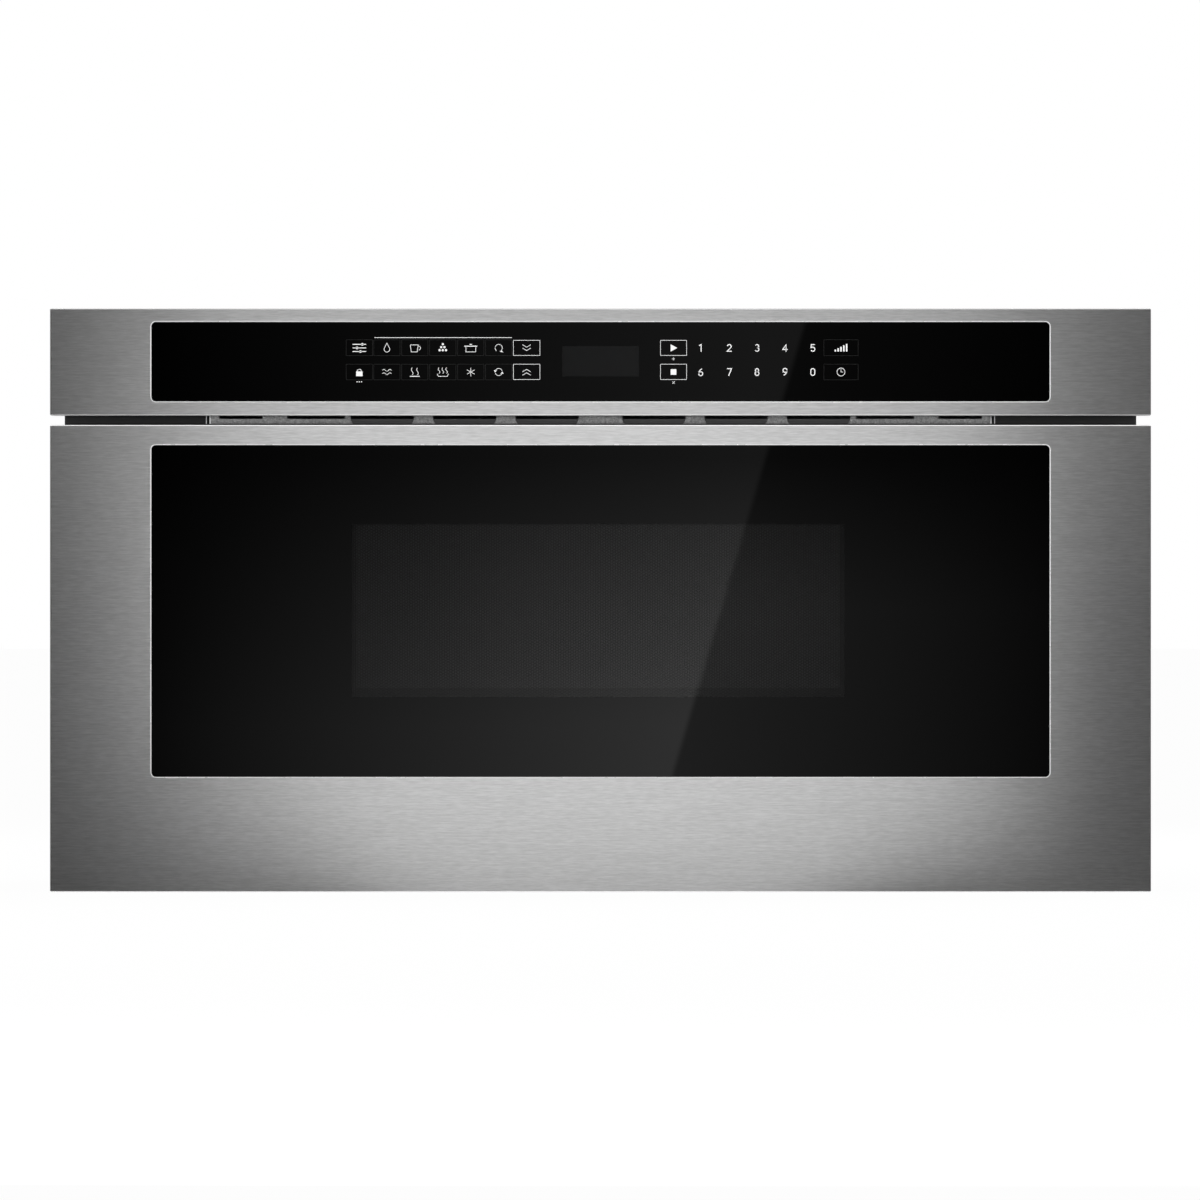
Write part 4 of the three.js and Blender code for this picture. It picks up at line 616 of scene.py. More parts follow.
def skin_pan(name, node, body, outer, pane, material):
    """Folded skin with rounded edges and an opening for its glass."""
    f = settings().front
    radius, sheet, corner = f.edge_radius, f.sheet, f.glass_corner + f.glass_gap

    def outside(inset, y):
        return rounded_loop(*outer.front(-inset), 0.8 * MM, y)

    def opening(reach, y):
        return rounded_loop(*pane.front(f.glass_gap + reach), corner + reach, y)

    rounding = arc(radius, outer.y0 + radius, radius, 180, 270, 5)
    loops = [
        outside(0, outer.y1),
        *(outside(inset, y) for inset, y in rounding),
        opening(0.5 * MM, outer.y0),
        opening(0.15 * MM, outer.y0 + 0.05 * MM),
        opening(0, outer.y0 + 0.25 * MM),
        opening(0, outer.y0 + sheet),
        outside(sheet + radius, outer.y0 + sheet),
        outside(sheet, outer.y0 + sheet + radius),
        outside(sheet, outer.y1),
    ]
    piece = piece_from(name, body, material, *lofted(loops), "brushed_steel", 50)
    modify(piece, "shading", "WEIGHTED_NORMAL", weight=90)
    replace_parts(piece, node)


def shadow_strip(material):
    """Black rubber strip with rounded sides along the drawer front's top edge, a dark piece that
    stands in for the shade at the gap's bottom.
    """
    half_length, front, back = 371 * MM, -8.5 * MM, -2.6 * MM
    low, high = drawer_skin.z1 - 1.8 * MM, drawer_skin.z1 + 1.1 * MM
    half = (high - low) / 2
    loops = []
    for reach, z in arc(-half, (low + high) / 2, half, -90, 90, 8):
        x, y0, y1 = half_length + reach, front - reach, back + reach
        loops.append([(-x, y0, z), (x, y0, z), (x, y1, z), (-x, y1, z)])
    shape = lofted(loops, closed=False, ends=True)
    piece_from("drawer_shadow_strip", DRAWER, material, *shape, "black_rubber", 35)


def glass_rim(name, body, pane, face, material):
    """Polished edge between the skin and its glass."""
    f = settings().front
    profile = [
        (0.05 * MM, 0.6 * MM),
        (0.05 * MM, 0.1 * MM),
        (0.5 * f.rim_width, -f.rim_rise),
        (f.rim_width, 0.05 * MM),
        (0.28 * MM, 0.15 * MM),
        (0.26 * MM, 0.6 * MM),
    ]
    loops = [
        rounded_loop(*pane.front(reach), f.glass_corner + reach, face + depth)
        for reach, depth in profile
    ]
    piece_from(name, body, material, *lofted(loops), "brushed_steel", 40)


class MICROWAVE_OT_front_skins(Operator):
    """Brushed skins and polished glass rims"""

    bl_idname = "microwave.front_skins"
    bl_label = "Front skins"

    def execute(self, context):
        # The panel's steel is the drawer's steel with painted shade, a dimmer painted edge
        # highlight and painted shade atop.
        panel = brushed_steel("control_panel_steel", control_skin, 0.91, 0.68, 0.2)
        door = brushed_steel("drawer_front_steel", drawer_skin, 1.0, 0.97)
        bright = rim_highlight()
        skin_pan("control_panel_skin", "control_bezel", CASE, control_skin, control_glass, panel)
        skin_pan("drawer_front_skin", "drawer_skin", DRAWER, drawer_skin, drawer_glass, door)
        glass_rim("control_glass_rim", CASE, control_glass, control_skin.y0, bright)
        glass_rim("drawer_glass_rim", DRAWER, drawer_glass, drawer_skin.y0, bright)
        # A black strip as painted shade along the drawer's top edge.
        shadow_strip(moulded("strip_rubber", grey(0.008), 0.7, 900, 0.03))
        return {"FINISHED"}


class MICROWAVE_OT_glasses(Operator):
    """Both front glasses, the window and the display"""

    bl_idname = "microwave.glasses"
    bl_label = "Glasses"

    def execute(self, context):
        f, edge = settings().front, 0.25 * MM
        border = (*photo_box(*WINDOW_BORDER), [c * BORDER_SHARE for c in f.window_tint])
        window = (*photo_box(*WINDOW_CLEAR), f.window_tint)
        shown = (*display.front(), f.display_tint)
        everywhere = (-1, 1, -1, 1, (0.8, 0.82, 0.81))
        coat(["drawer_glass"], glass("drawer_glass", [border, window]), edge)
        coat(["control_glass"], glass("control_glass", [shown]), edge)
        coat(["inner_window"], glass("inner_window", [everywhere]), edge)
        coat(["window_screen"], perforated())
        screen = moulded("display_module", (0.035, 0.038, 0.04), 0.2, 300, 0.005)
        coat(["display_module"], screen)
        return {"FINISHED"}


# ---- touch keys


class Print(Heap):
    """Flat marks printed on the control glass, in millimetres times scale about a place."""

    front = control_glass.y0 - 0.01 * MM
    thickness = 0.03 * MM

    def __init__(self, stroke, scale=1.0):
        super().__init__()
        self.stroke = stroke
        self.x = self.z = 0.0
        self.scale = scale

    def at(self, column, row):
        self.x, self.z = photo_x(column), photo_z(row)
        return self

    def outline(self, points):
        size = self.scale * MM
        placed = [(self.x + x * size, self.z + z * size) for x, z in points]
        self.slab(placed, self.front - self.thickness, self.front)

    def bar(self, x0, x1, z0, z1):
        self.outline([(x0, z0), (x1, z0), (x1, z1), (x0, z1)])

    def line(self, points):
        """A stroke through points with mitred corners."""
        half = self.stroke / MM / 2 / self.scale
        points = [Vector(p) for p in points]
        left, right = [], []
        for i, p in enumerate(points):
            before = (p - points[i - 1]).normalized() if i else (points[1] - p).normalized()
            after = (points[i + 1] - p).normalized() if i < len(points) - 1 else before
            along = (before + after).normalized()
            reach = half / max(0.5, along.dot(before))
            side = Vector((-along.y, along.x)) * reach
            left.append(p + side)
            right.append(p - side)
        for i in range(len(points) - 1):
            self.outline([right[i], right[i + 1], left[i + 1], left[i]])

    def arc(self, cx, cz, radius, start, end, steps):
        self.line(arc(cx, cz, radius, start, end, steps))

    def disc(self, cx, cz, radius):
        self.outline(arc(cx, cz, radius, 0, 360, 16)[:-1])

    def box(self, column0, column1, row0, row1):
        """A key's outline, between columns and rows of the photograph."""
        x0, x1, z0, z1 = photo_box(column0, column1, row0, row1)
        y0, y1, w = self.front - self.thickness, self.front, self.stroke
        outer, inner = (x0, x1, z0, z1, 0.4 * MM), (x0 + w, x1 - w, z0 + w, z1 - w, 0.2 * MM)
        sides = ((outer, y0), (inner, y0), (inner, y1), (outer, y1))
        self.add(*lofted([rounded_loop(*side, y, 3) for side, y in sides]))


def heat(p, xs, z0=-1.6, z1=2.2):
    """Wavy upright lines."""
    for x in xs:
        parts = [i / 10 for i in range(11)]
        p.line([(x + 0.45 * math.sin(math.tau * t), z0 + (z1 - z0) * t) for t in parts])


def sliders(p):
    for i, knob in enumerate((1.6, -1.2, 0.6)):
        z = 1.9 - 1.9 * i
        p.bar(-3.6, 3.6, z - 0.2, z + 0.2)
        p.disc(knob, z, 0.7)


def drop(p):
    p.arc(0, -0.7, 1.5, -215, 35, 20)
    p.line([(-1.23, 0.16), (0, 2.5), (1.23, 0.16)])


def cup(p):
    p.line([(-2.4, 1.6), (-1.9, -2.1), (1.3, -2.1), (1.8, 1.6), (-2.4, 1.6)])
    p.arc(1.9, -0.1, 1.1, -75, 90, 10)


def kernels(p):
    for x, z in ((-1.7, -1.2), (0, -1.2), (1.7, -1.2), (-0.85, 0.4), (0.85, 0.4), (0, 2.0)):
        p.disc(x, z, 0.6)


def pot(p):
    p.line([(-2.6, 0.6), (-2.6, -2.1), (2.6, -2.1), (2.6, 0.6)])
    p.bar(-3.4, 3.4, 0.7, 1.15)
    p.bar(-0.6, 0.6, 1.6, 2.1)


def turn_back(p):
    p.arc(0, 0, 1.9, -40, 230, 22)
    p.outline([(1.46, -1.22), (0.6, -1.9), (2.4, -2.4)])


def padlock(p):
    p.bar(-1.7, 1.7, -2.2, 0.3)
    p.arc(0, 0.3, 1.15, 0, 180, 12)


def waves(p):
    parts = [i / 16 for i in range(17)]
    for z in (0.9, -0.9):
        p.line([(4.8 * t - 2.4, z + 0.5 * math.sin(math.tau * 1.5 * t)) for t in parts])


def warm(p):
    heat(p, (-1.4, 1.4))
    p.bar(-2.6, 2.6, -2.5, -2.1)


def hold_warm(p):
    heat(p, (-2, 0, 2), -0.8, 2.3)
    p.line([(-3, -1), (-2.4, -2.3), (2.4, -2.3), (3, -1)])


def frost(p):
    for i in range(3):
        t = math.radians(60 * i + 90)
        dx, dz = 2.3 * math.cos(t), 2.3 * math.sin(t)
        p.line([(-dx, -dz), (dx, dz)])


def twice_round(p):
    p.arc(0, 0, 1.9, 20, 160, 12)
    p.arc(0, 0, 1.9, 200, 340, 12)
    p.outline([(-2.6, 0.9), (-1.0, 0.9), (-1.9, -0.3)])
    p.outline([(2.6, -0.9), (1.0, -0.9), (1.9, 0.3)])


def chevrons_down(p, way=1):
    for z in (1.1, -0.7):
        p.line([(-2.2, (z + 0.6) * way), (0, (z - 0.7) * way), (2.2, (z + 0.6) * way)])


def chevrons_up(p):
    chevrons_down(p, -1)


def play(p):
    p.outline([(-1.5, -1.9), (2.0, 0), (-1.5, 1.9)])


def square(p):
    p.bar(-1.5, 1.5, -1.5, 1.5)


def rising_bars(p):
    for i in range(5):
        p.bar(-3.4 + 1.5 * i, -2.6 + 1.5 * i, -1.9, -0.9 + 0.75 * i)


def clock(p):
    p.arc(0, 0, 2.1, 0, 360, 28)
    p.line([(0, 1.4), (0, 0), (1.1, 0)])


# Columns and rows of the printed marks in the photograph.
KEY_COLUMNS = (359.3, 386.9, 414.8, 442.8, 470.8, 498.7)
SIGN_COLUMNS = (526.6, 673.5, 841.0)
DIGIT_COLUMNS = (700.7, 729.3, 757.0, 785.0, 812.8)
KEY_ROWS = (347.9, 372.0)
BOX_COLUMNS = ((513.2, 540.1), (660.3, 686.8))
BOX_ROWS = ((340.1, 355.6), (364.0, 379.7))
CELL_ROWS = ((339.6, 355.8), (364.0, 380.0))
CELL_HALF_WIDTH = 13.3
WIDE_CELL = (823.7, 858.3)
LINE_COLUMNS, LINE_ROW = (374.3, 511.9), 337.6
DOTS_ROW = 381.8
PLUS_ROW, CROSS_ROW = 358.9, 382.6

KEY_SYMBOLS = (
    (sliders, drop, cup, kernels, pot, turn_back),
    (padlock, waves, warm, hold_warm, frost, twice_round),
)
SIGNS = ((chevrons_down, play, rising_bars), (chevrons_up, square, clock))
DIGITS = ("12345", "67890")
SYMBOL_SCALE, DIGIT_SCALE, DIGIT_STROKE = 1.3, 0.94, 0.64 * MM
# The strokes of each digit about its middle, in millimetres before scaling.
DIGIT_LINES = {
    "0": [
        arc(0, 1.05, 1.45, 0, 180, 12),
        arc(0, -1.05, 1.45, 180, 360, 12),
        [(-1.45, 1.05), (-1.45, -1.05)],
        [(1.45, 1.05), (1.45, -1.05)],
    ],
    "1": [[(-1.1, 1.6), (0.3, 2.5), (0.3, -2.8)]],
    "2": [[*arc(0, 1.1, 1.4, 170, -40, 12), (-1.6, -2.45), (1.8, -2.45)]],
    "3": [arc(0, 1.2, 1.25, 155, -90, 14), arc(0, -1.05, 1.42, 90, -155, 16)],
    "4": [[(0.75, -2.8), (0.75, 2.4), (-1.7, -1.2), (1.9, -1.2)]],
    "5": [[(1.5, 2.45), (-1.1, 2.45), (-1.35, 0.2), *arc(0, -0.95, 1.5, 118, -150, 16)]],
    "6": [arc(0, -1.25, 1.45, 0, 360, 24), arc(2.4, -1.25, 3.85, 180, 112, 12)],
    "7": [[(-1.6, 2.45), (1.6, 2.45), (-0.5, -2.8)]],
    "8": [arc(0, 1.25, 1.2, 0, 360, 20), arc(0, -1.1, 1.42, 0, 360, 22)],
    "9": [arc(0, 1.25, 1.45, 0, 360, 24), arc(-2.4, 1.25, 3.85, 0, -68, 12)],
}


class MICROWAVE_OT_touch_keys(Operator):
    """Printed digits, symbols and key outlines"""

    bl_idname = "microwave.touch_keys"
    bl_label = "Touch keys"

    def execute(self, context):
        f = settings().front
        white = ink("key_print", f.print_colour)
        faint = ink("key_cell_print", grey(0.0025))
        boxes, cells, notes = Print(0.27 * MM), Print(0.25 * MM), Print(0.3 * MM)
        symbols, digits = Print(f.stroke, SYMBOL_SCALE), Print(DIGIT_STROKE, DIGIT_SCALE)
        for rows in BOX_ROWS:
            for columns in BOX_COLUMNS:
                boxes.box(*columns, *rows)
        left, right = LINE_COLUMNS
        half = (right - left) / 2 * PIXEL / MM
        boxes.at((left + right) / 2, LINE_ROW).bar(-half, half, -0.18, 0.18)
        for row, z in enumerate(KEY_ROWS):
            for column, symbol in zip(KEY_COLUMNS, KEY_SYMBOLS[row]):
                symbol(symbols.at(column, z))
                cells.box(column - CELL_HALF_WIDTH, column + CELL_HALF_WIDTH, *CELL_ROWS[row])
            cells.box(*WIDE_CELL, *CELL_ROWS[row])
            for column, sign in zip(SIGN_COLUMNS, SIGNS[row]):
                sign(symbols.at(column, z))
            for column, digit in zip(DIGIT_COLUMNS, DIGITS[row]):
                for points in DIGIT_LINES[digit]:
                    digits.at(column, z).line(points)
        for x in (-1.2, 0, 1.2):
            symbols.at(KEY_COLUMNS[0], DOTS_ROW).disc(x, 0, 0.3)
        for row, ends in ((PLUS_ROW, ((1, 0), (0, 1))), (CROSS_ROW, ((0.8, 0.8), (0.8, -0.8)))):
            for x, z in ends:
                notes.at(SIGN_COLUMNS[1], row).line([(-x, -z), (x, z)])
        printed = {"boxes": boxes, "symbols": symbols, "digits": digits, "notes": notes}
        for name, heap in printed.items():
            heap.piece(f"key_{name}", CASE, white, "white_plastic")
        cells.piece("key_cells", CASE, faint, "black_plastic")
        return {"FINISHED"}


# ---- case


def screw_head(radius):
    """A domed screw head with a cross recess, its seat on z = 0."""

    def loop(z, reach, waist=None, count=32):
        """A circle, or a cross that reaches out in four arms from its waist."""
        points = []
        for i, (x, y) in enumerate(arc(0, 0, 1, 0, 360, count)[:-1]):
            r = reach if waist is None or i % 8 in (0, 1, 7) else waist
            points.append((r * x, r * y, z))
        return points

    loops = [loop(0, radius)]
    for x, z in arc(0, 0, radius, 0, 72, 4):
        loops.append(loop(0.12 * radius + 0.45 * z, x))
    top = 0.57 * radius
    loops.append(loop(0.98 * top, 0.62 * radius))
    loops.append(loop(top, 0.52 * radius, 0.2 * radius))
    loops.append(loop(0.35 * top, 0.45 * radius, 0.14 * radius))
    return lofted(loops, closed=False, ends=True)


def make_screws(name, body, places, radius, material):
    """Screw heads at (point, way they face)."""
    heap = Heap()
    shape = screw_head(radius)
    for i, (point, way) in enumerate(places):
        turn = Vector(way).to_track_quat("Z", "Y").to_matrix().to_4x4()
        spin = Matrix.Rotation(0.7 * i, 4, "Z")
        heap.add(*shape, Matrix.Translation(point) @ turn @ spin)
    heap.piece(name, body, material, "zinc_steel", 30)


# A ridge's slope: shares of its width and of its height.
PRESSED = ((1.0, 0), (0.92, 0.12), (0.7, 0.86), (0.58, 1.0))
GLIDE = ((1, 0), (1, 0.7), (0.86, 1))


def bead(heap, centre, size, way, run, slopes=PRESSED):
    """A long low ridge with round ends; size is its length, width and height."""
    length, width, height = size
    centre, way, run = Vector(centre), Vector(way), Vector(run)
    across = way.cross(run)
    loops = []
    for scale, rise in slopes:
        bend = arc((length - width) / 2, 0, scale * width / 2, -90, 90, 8)
        base = centre + way * height * rise
        loops.append([base + (run * u + across * v) * end for end in (1, -1) for u, v in bend])
    heap.add(*lofted(loops, closed=False, ends=True))


class MICROWAVE_OT_case(Operator):
    """Outer panels with their beads and screws"""

    bl_idname = "microwave.case"
    bl_label = "Case"

    def execute(self, context):
        c, zinc = settings().case, galvanised()
        panels = ["base_plate", "left_side_panel", "right_side_panel", "top_cover", "rear_panel"]
        coat(panels, zinc, 0.35 * MM)
        coat(["cord_gland"], moulded("cord_gland", grey(0.02), 0.6, 900, 0.04), 0.8 * MM, 3)
        self.add_beads(zinc, c.bead_width, c.bead_height)
        self.add_screws(plated("screw_plate"), c.screw_radius)
        return {"FINISHED"}

    def add_beads(self, zinc, width, height):
        beads, middle = Heap(), 0.285
        along_x, along_y, up = (1, 0, 0), (0, 1, 0), (0, 0, 1)
        for x in (-0.24, -0.08, 0.08, 0.24):
            bead(beads, (x, middle, top_cover.z1), (0.38, width, height), up, along_y)
        for side in (-1, 1):
            for z in (0.1, 0.185, 0.27):
                centre = (side * side_panel.x1, middle, z)
                bead(beads, centre, (0.4, width, height), (side, 0, 0), along_y)
        for z in (0.12, 0.2, 0.28):
            bead(beads, (-0.05, rear_panel.y1, z), (0.46, width, height), along_y, along_x)
        beads.piece("case_beads", CASE, zinc, "zinc_steel", 60)

    def add_screws(self, steel, radius):
        back, up, inset = (0, 1, 0), (0, 0, 1), 8 * MM
        places = []
        for side in (-1, 1):
            out = (side, 0, 0)
            for y in (0.03, 0.2, 0.37, 0.53):
                places.append(((side * (top_cover.x1 - inset), y, top_cover.z1), up))
                places += [((side * side_panel.x1, y, z), out) for z in (0.012, 0.352)]
            for z in (0.02, 0.185, 0.352):
                places.append(((side * (rear_panel.x1 - inset), rear_panel.y1, z), back))
        for x in (-0.2, 0, 0.2):
            places += [((x, rear_panel.y1, z), back) for z in (0.012, 0.358)]
        make_screws("case_screws", CASE, places, radius, steel)


def vent_louvre(material):
    """A sloped blade with a rolled top edge, that closes the slots' lower part from behind."""
    rise, sheet, half_width = 4.4 * MM, 0.9 * MM, 176 * MM
    y, z = grille.y0 + 1.3 * MM, drawer_skin.z1 - 0.9 * MM
    roll = arc(rise + 0.7 * sheet, rise + 0.3 * sheet, sheet, 135, -105, 8)
    section = [(0, 0), (rise, rise), *roll, (rise + sheet, rise - 0.6 * sheet), (1.4 * sheet, 0)]
    parts = 32
    columns = [half_width * (2 * i / parts - 1) for i in range(parts + 1)]
    loops = [[(x, y + a, z + b) for a, b in section] for x in columns]
    shape = lofted(loops, closed=False, ends=True)
    piece_from("vent_louvre", CASE, material, *shape, "grey_enamel", 40)


class MICROWAVE_OT_frame_and_grille(Operator):
    """Mounting frame, grille and duct"""

    bl_idname = "microwave.frame_and_grille"
    bl_label = "Frame and grille"

    def execute(self, context):
        edge = 0.3 * MM
        coat(["mounting_frame"], frame_paint(), edge)
        coat(["cavity_front_plate", "vent_grille"], textured_enamel(), edge)
        coat(["exhaust_duct"], moulded("duct_paint", grey(0.03), 0.4, 700, 0.05))
        vent_louvre(moulded("louvre_paint", grey(0.12), 0.5, 900, 0.05))
        return {"FINISHED"}


# ---- oven and drawer


class MICROWAVE_OT_oven(Operator):
    """Oven walls, lamp and stirrer cover"""

    bl_idname = "microwave.oven"
    bl_label = "Oven"

    def execute(self, context):
        parts = ("left_wall", "right_wall", "floor", "ceiling", "rear_wall")
        walls = [f"cavity_{part}" for part in parts]
        coat(walls, oven_enamel())
        mica = layered("mica_sheet", (0.5, 0.44, 0.34), (0.36, 0.3, 0.22), (40, 40, 900))
        coat(["stirrer_cover"], mica)
        coat(["cavity_lamp"], moulded("lamp_holder", (0.75, 0.73, 0.68), 0.4))
        return {"FINISHED"}


def bay_path(half, front, rear, corner, z):
    """Points round three sides of a bay that is open at the front, with round rear corners."""
    points = [(-half, front)]
    for side, start in ((-1, 180), (1, 90)):
        points += arc(side * (half - corner), rear - corner, corner, start, start - 90, 8)
    return [(x, y, z) for x, y in [*points, (half, front)]]


def round_cornered_bin(material):
    """The bin: three walls with round corners, a rolled rim, a floor and two glides."""
    wall, rim, thick, base = 4 * MM, 6 * MM, 3 * MM, 4 * MM
    half, rear = bin_box.x1 - rim, bin_box.y1 - rim
    front, top, low = bin_box.y0, bin_box.z1, bin_box.z0 + base
    under, roll = top - thick, thick / 2
    corner = settings().case.bin_corner + wall
    profile = [
        (-5 * MM, low),
        (-1.5 * MM, low + 1.5 * MM),
        (0, low + 5 * MM),
        (0, under - 2 * MM),
        (0.6 * MM, under - 0.6 * MM),
        (2 * MM, under),
        (rim - 1 * MM, under),
        *arc(rim - roll, top - roll, roll, -90, 90, 6),
        (1.2 * MM - wall, top),
        (0.35 * MM - wall, top - 0.35 * MM),
        (-wall, top - 1.2 * MM),
        (-wall, low + 3 * MM),
    ]
    loops = [bay_path(half + t, front, rear + t, corner + t, z) for t, z in profile]
    vertices, faces = lofted(loops, closed=False, ring=False, ends=True)
    firsts = range(0, len(vertices), len(loops[0]))
    lasts = [i + len(loops[0]) - 1 for i in reversed(firsts)]
    heap = Heap()
    heap.add(vertices, [*faces, (*firsts, *lasts)])
    for side in (-1, 1):
        centre, size = (side * (half - 44 * MM), 0.2075, low), (0.395, 10 * MM, base)
        bead(heap, centre, size, (0, 0, -1), (0, 1, 0), GLIDE)
    return heap.piece("food_bin", DRAWER, material, "grey_plastic", 45)


# Inset and height in millimetres along the tray's edge, from its underside to its middle.
TRAY_EDGE = ((0.6, 0), (0.15, 0.2), (0, 0.6), (0, 3.1), (0.25, 3.75), (0.8, 4))
TRAY_BORDER = ((11, 4), (12, 3.95), (15, 3.2), (16, 3.1))


def dished_tray(material):
    """The tray: glass-ceramic with a raised border and round rear corners."""
    t, corner = tray_box, settings().case.bin_corner - 0.3 * MM
    loops = []
    for inset, rise in TRAY_EDGE + TRAY_BORDER:
        k, z = inset * MM, t.z0 + rise * MM
        loops.append(bay_path(t.x1 - k, t.y0 + k, t.y1 - k, max(corner - k, 2 * MM), z))
    shape = lofted(loops, closed=False, ends=True)
    return piece_from("glazed_tray", DRAWER, material, *shape, "tray_ceramic", 50)


class MICROWAVE_OT_food_bin(Operator):
    """Bin, tray and the drawer front's inside"""

    bl_idname = "microwave.food_bin"
    bl_label = "Food bin"

    def execute(self, context):
        plastic = moulded("bin_plastic", (0.13, 0.135, 0.14), 0.42, 1100, 0.04)
        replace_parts(round_cornered_bin(plastic), "drawer_bin")
        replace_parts(dished_tray(glazed()), "bin_tray")
        edge = 0.5 * MM
        coat(["choke_cover"], moulded("choke_plastic", (0.09, 0.09, 0.092), 0.45, 900, 0.05), edge)
        carrier = moulded("carrier_plastic", grey(0.012), 0.5, 1000, 0.04)
        coat(["door_frame", "control_carrier"], carrier, edge)
        return {"FINISHED"}


class MICROWAVE_OT_slides(Operator):
    """Slides, brackets, arms and their screws"""

    bl_idname = "microwave.slides"
    bl_label = "Slides"

    def execute(self, context):
        sides, edge = ("left", "right"), 0.25 * MM
        parts = ("outer", "middle", "inner")
        members = [f"{side}_slide_{part}" for side in sides for part in parts]
        carriers = [f"{side}_{part}" for side in sides for part in ("slide_bracket", "drawer_arm")]
        coat(members, plated("slide_plate", (0.62, 0.63, 0.64)), edge)
        zinc = galvanised("bracket_zinc")
        coat(carriers, zinc, edge)
        coat(["choke_frame", "drive_bracket"], zinc)
        switches = [f"{side}_interlock_switch" for side in sides]
        coat(switches, moulded("switch_plastic", grey(0.02), 0.4))
        fixed, moving = [], []
        for side, way in zip(sides, (-1, 1)):
            bracket, arm = Box(f"{side}_slide_bracket"), Box(f"{side}_drawer_arm")
            inner = Box(f"{side}_slide_inner")
            foot_x = (bracket.x1 if way > 0 else bracket.x0) - way * 12 * MM
            arm_x = (inner.x1 if way < 0 else inner.x0) - way * 2.3 * MM
            arm_z = (arm.z0 + arm.z1) / 2
            fixed += [((foot_x, y, bracket.z0 + 2 * MM), (0, 0, 1)) for y in (0.04, 0.22, 0.4)]
            moving += [((arm_x, y, arm_z), (-way, 0, 0)) for y in (0.06, 0.2, 0.34)]
        steel = plated("bolt_plate")
        make_screws("slide_foot_screws", CASE, fixed, 3.5 * MM, steel)
        make_screws("slide_arm_screws", DRAWER, moving, 3 * MM, steel)
        return {"FINISHED"}


class MICROWAVE_OT_drive(Operator):
    """Rack, gears and motor"""

    bl_idname = "microwave.drive"
    bl_label = "Drive"

    def execute(self, context):
        nylon = moulded("nylon", (0.78, 0.77, 0.72), 0.38, 700, 0.01)
        coat(["drive_rack", "drive_gear"], nylon)
        coat(["motor_pinion"], plated("pinion_steel", grey(0.55), 0.25))
        coat(["drive_motor"], plated("motor_can", (0.5, 0.51, 0.52), 0.3), 0.8 * MM, 3)
        return {"FINISHED"}


class MICROWAVE_OT_electrics(Operator):
    """Microwave feed, fan, transformer and boards"""

    bl_idname = "microwave.electrics"
    bl_label = "Electrics"

    def execute(self, context):
        guides = ["stirrer_dome", "waveguide", "fan_frame", "magnetron", "stirrer_motor"]
        coat(guides, galvanised("guide_zinc"))
        coat(["stirrer_antenna", "capacitor"], plated("aluminium", (0.7, 0.71, 0.72), 0.3))
        coat(["fan_rotor"], moulded("fan_plastic", (0.75, 0.75, 0.72), 0.4))
        core = layered("motor_core", (0.16, 0.16, 0.17), (0.4, 0.4, 0.41), (20, 900, 20))
        coat(["fan_motor"], core)
        core = layered("transformer_core", (0.3, 0.14, 0.06), (0.5, 0.26, 0.12), (20, 20, 700))
        coat(["transformer"], core)
        coat(["power_board", "control_board"], circuit_board())
        return {"FINISHED"}


# ---- stage


def card_paint(name, pattern, peak):
    """Paint of a reflection card: pattern gives its brightness, up to peak."""
    f = Finish(name)
    colour = f.mix(pattern(f) / peak, grey(0.0), grey(1.0))
    return f.output(f.node("ShaderNodeEmission", None, {"Color": colour, "Strength": peak}))


def flat_sheet(name, corners, material):
    mesh = bpy.data.meshes.new(name)
    mesh.from_pydata(corners, [], [(0, 1, 2, 3)])
    mesh.materials.append(material)
    made = bpy.data.objects.new(name, mesh)
    bpy.context.scene.collection.objects.link(made)
    return made


def card(name, corners, material):
    """A flat card that only reflections see, and glass."""
    made = flat_sheet(name, corners, material)
    for ray in ("camera", "diffuse", "volume_scatter", "shadow"):
        setattr(made, f"visible_{ray}", False)


# The numbers in these three follow the light that the photograph shows on the steel and glass.


def window_light(f, height):
    """A window's light from the left, with a slanted edge, by height on the front card."""
    edge = f.x - (height - 0.0501) * 0.2931 - 0.0555
    up = ((height - 0.09) / 0.21).clamp()
    lit = ((f.x + 0.39) / 0.51).clamp() ** 1.15 * (0.76 - up * 0.55) + (1 - up) * 0.03
    fall = 1 - ((f.x - 0.03) / 0.4).clamp()
    dim = fall * (0.35 - ((height - 0.18) / 0.12).clamp() * 0.25)
    right = edge.step(-0.002, 0.004)
    return lit * (1 - right) + dim * right


def front_card_light(f):
    """Soft box over the camera, with the window light under it."""
    over = f.z.step(0.55, 0.65) * (1 - f.z.step(1.5, 1.7))
    across = f.x.step(-0.35, -0.3) * (1 - f.x.step(0.114, 0.514))
    boxes = (across * 1.77 + 0.25) * over
    return boxes + window_light(f, f.z) * (1 - f.z.step(0.42, 0.5))


def floor_card_light(f):
    """Light on the floor in front, wider farther out, which the window light runs on into."""
    away = f.y * -1 - 0.04
    left = f.x + (away * 0.38 + 0.148).at_most(0.376)
    right = f.x - (away * 0.78 + 0.151).at_most(0.3)
    fan = left.step(-0.07, 0.07) * (1 - right.step(-0.07, 0.07))
    near = (away.step(0, 0.4) * 1.06 + 0.56) * (1 - away.step(0.9, 1.3))
    return fan * near + window_light(f, (away - 1.72) * 0.06) * away.step(0.9, 1.6) + 0.01


def make_world():
    """White surroundings, which are dimmer as light than they look."""
    s = settings().stage
    world = bpy.data.worlds.new("studio")
    bpy.context.scene.world = world
    f = Nodes(world)
    levels = {"Value": f.shown(), "To Min": s.world_light, "To Max": 1.0}
    strength = f.node("ShaderNodeMapRange", None, levels, "Result")
    values = {"Color": (*s.white, 1), "Strength": strength}
    sky = f.node("ShaderNodeBackground", None, values)
    f.node("ShaderNodeOutputWorld", None, {"Surface": sky}, None)


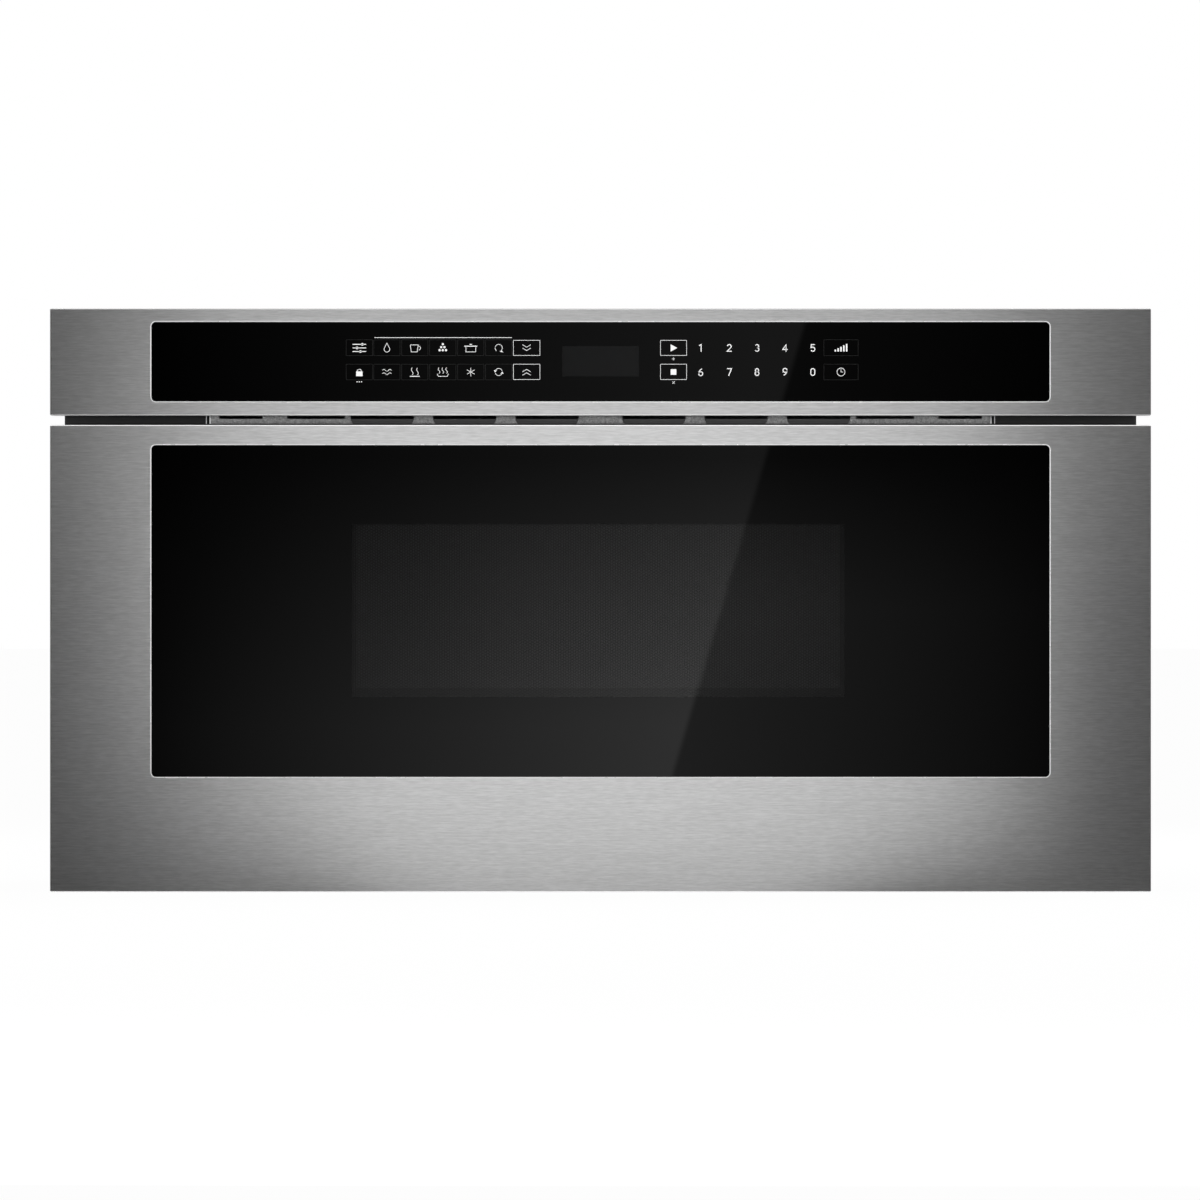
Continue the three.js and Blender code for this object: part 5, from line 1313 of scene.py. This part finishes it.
def make_floor():
    """Matt floor that looks white."""
    f = Finish("floor")
    cloudy = f.shade(grey(0.86), f.noise(2, 1), 0.01)
    matt = f.node("ShaderNodeBsdfDiffuse", None, {"Color": cloudy})
    white = {"Color": (*settings().stage.white, 1), "Strength": 1.0}
    glow = f.node("ShaderNodeEmission", None, white)
    mixed = f.node("ShaderNodeMixShader", None, {0: f.shown() * 0.96, 1: matt, 2: glow})
    reach, level = 60.0, drawer_skin.z0 - 0.05 * MM
    corners = [(x * reach, y * reach, level) for x, y in ((-1, -1), (1, -1), (1, 1), (-1, 1))]
    floor = flat_sheet("floor", corners, f.output(mixed))


def lamp(name, place, size, power):
    """A soft area lamp aimed at the drawer, that reflections don't see."""
    light = bpy.data.lights.new(name, "AREA")
    light.shape = "SQUARE"
    light.size = size
    light.energy = power
    holder = bpy.data.objects.new(name, light)
    bpy.context.scene.collection.objects.link(holder)
    holder.location = place
    aim = Vector(LAMP_TARGET) - Vector(place)
    holder.rotation_euler = aim.to_track_quat("-Z", "Y").to_euler()
    holder.visible_glossy = False
    holder.visible_transmission = False


LAMP_TARGET = (0, 0.2, centre_z)
# Place, width and power of each lamp.
LAMPS = {
    "front_lamp": ((-0.5, -6.0, 0.45), 0.8, 160),
    "key_lamp": ((-1.4, -2.0, 2.2), 1.4, 25),
    "fill_lamp": ((1.8, -1.6, 1.4), 1.6, 15),
    "back_lamp": ((0.6, 2.4, 2.0), 1.4, 35),
}


class MICROWAVE_OT_stage(Operator):
    """Camera, floor, world, cards and lamps"""

    bl_idname = "microwave.stage"
    bl_label = "Stage"

    def execute(self, context):
        bpy.context.scene.view_settings.view_transform = "Standard"
        make_world()
        make_floor()
        self.add_cards()
        for name, (place, size, power) in LAMPS.items():
            lamp(name, place, size, power)
        self.add_camera()
        return {"FINISHED"}

    def add_cards(self):
        """One card upright before the front and one on the floor between them."""
        front, half, high = drawer_skin.y0, 1.8, 2.3
        y, low = front - settings().stage.card_distance, drawer_skin.z0 - 0.02 * MM
        upright = [(-half, y, low), (half, y, low), (half, y, high), (-half, y, high)]
        card("front_card", upright, card_paint("front_card", front_card_light, 2.5))
        flat = [(-half, y, low), (half, y, low), (half, front, low), (-half, front, low)]
        card("floor_card", flat, card_paint("floor_card", floor_card_light, 2.0))

    def add_camera(self):
        """A camera that shows the front at the photograph's scale and place."""
        distance, middle = settings().stage.camera_distance, PHOTO_SIZE / 2
        camera = bpy.data.cameras.new("camera")
        holder = bpy.data.objects.new("camera", camera)
        bpy.context.scene.collection.objects.link(holder)
        bpy.context.scene.camera = holder
        holder.location = (photo_x(middle), drawer_skin.y0 - distance, photo_z(middle))
        holder.rotation_euler = (math.pi / 2, 0, 0)
        camera.sensor_width = 36
        camera.lens = camera.sensor_width * distance / (PHOTO_SIZE * PIXEL)
        camera.clip_end = 200


# ---- add-on


class MicrowaveDrawerSettings(PropertyGroup):
    """All the settings."""

    front: PointerProperty(type=FrontSettings)
    case: PointerProperty(type=CaseSettings)
    stage: PointerProperty(type=StageSettings)


OPERATORS = (
    MICROWAVE_OT_front_skins,
    MICROWAVE_OT_glasses,
    MICROWAVE_OT_touch_keys,
    MICROWAVE_OT_frame_and_grille,
    MICROWAVE_OT_case,
    MICROWAVE_OT_oven,
    MICROWAVE_OT_food_bin,
    MICROWAVE_OT_slides,
    MICROWAVE_OT_drive,
    MICROWAVE_OT_electrics,
    MICROWAVE_OT_stage,
)


class MICROWAVE_PT_drawer(Panel):
    """Buttons that make the pieces, and their settings."""

    bl_label = "Microwave drawer"
    bl_idname = "MICROWAVE_PT_drawer"
    bl_space_type = "VIEW_3D"
    bl_region_type = "UI"
    bl_category = "Microwave drawer"

    def draw(self, context):
        for made in OPERATORS:
            self.layout.operator(made.bl_idname)
        for group in (settings().front, settings().case, settings().stage):
            box = self.layout.box()
            for name in group.__annotations__:
                box.prop(group, name)


CLASSES = (
    FrontSettings,
    CaseSettings,
    StageSettings,
    MicrowaveDrawerSettings,
    *OPERATORS,
    MICROWAVE_PT_drawer,
)


def register():
    for made in CLASSES:
        bpy.utils.register_class(made)
    bpy.types.Scene.microwave_drawer = PointerProperty(type=MicrowaveDrawerSettings)


def unregister():
    del bpy.types.Scene.microwave_drawer
    for made in reversed(CLASSES):
        bpy.utils.unregister_class(made)


def main():
    register()
    for made in OPERATORS:
        group, name = made.bl_idname.split(".")
        getattr(getattr(bpy.ops, group), name)()


if __name__ == "__main__":
    main()
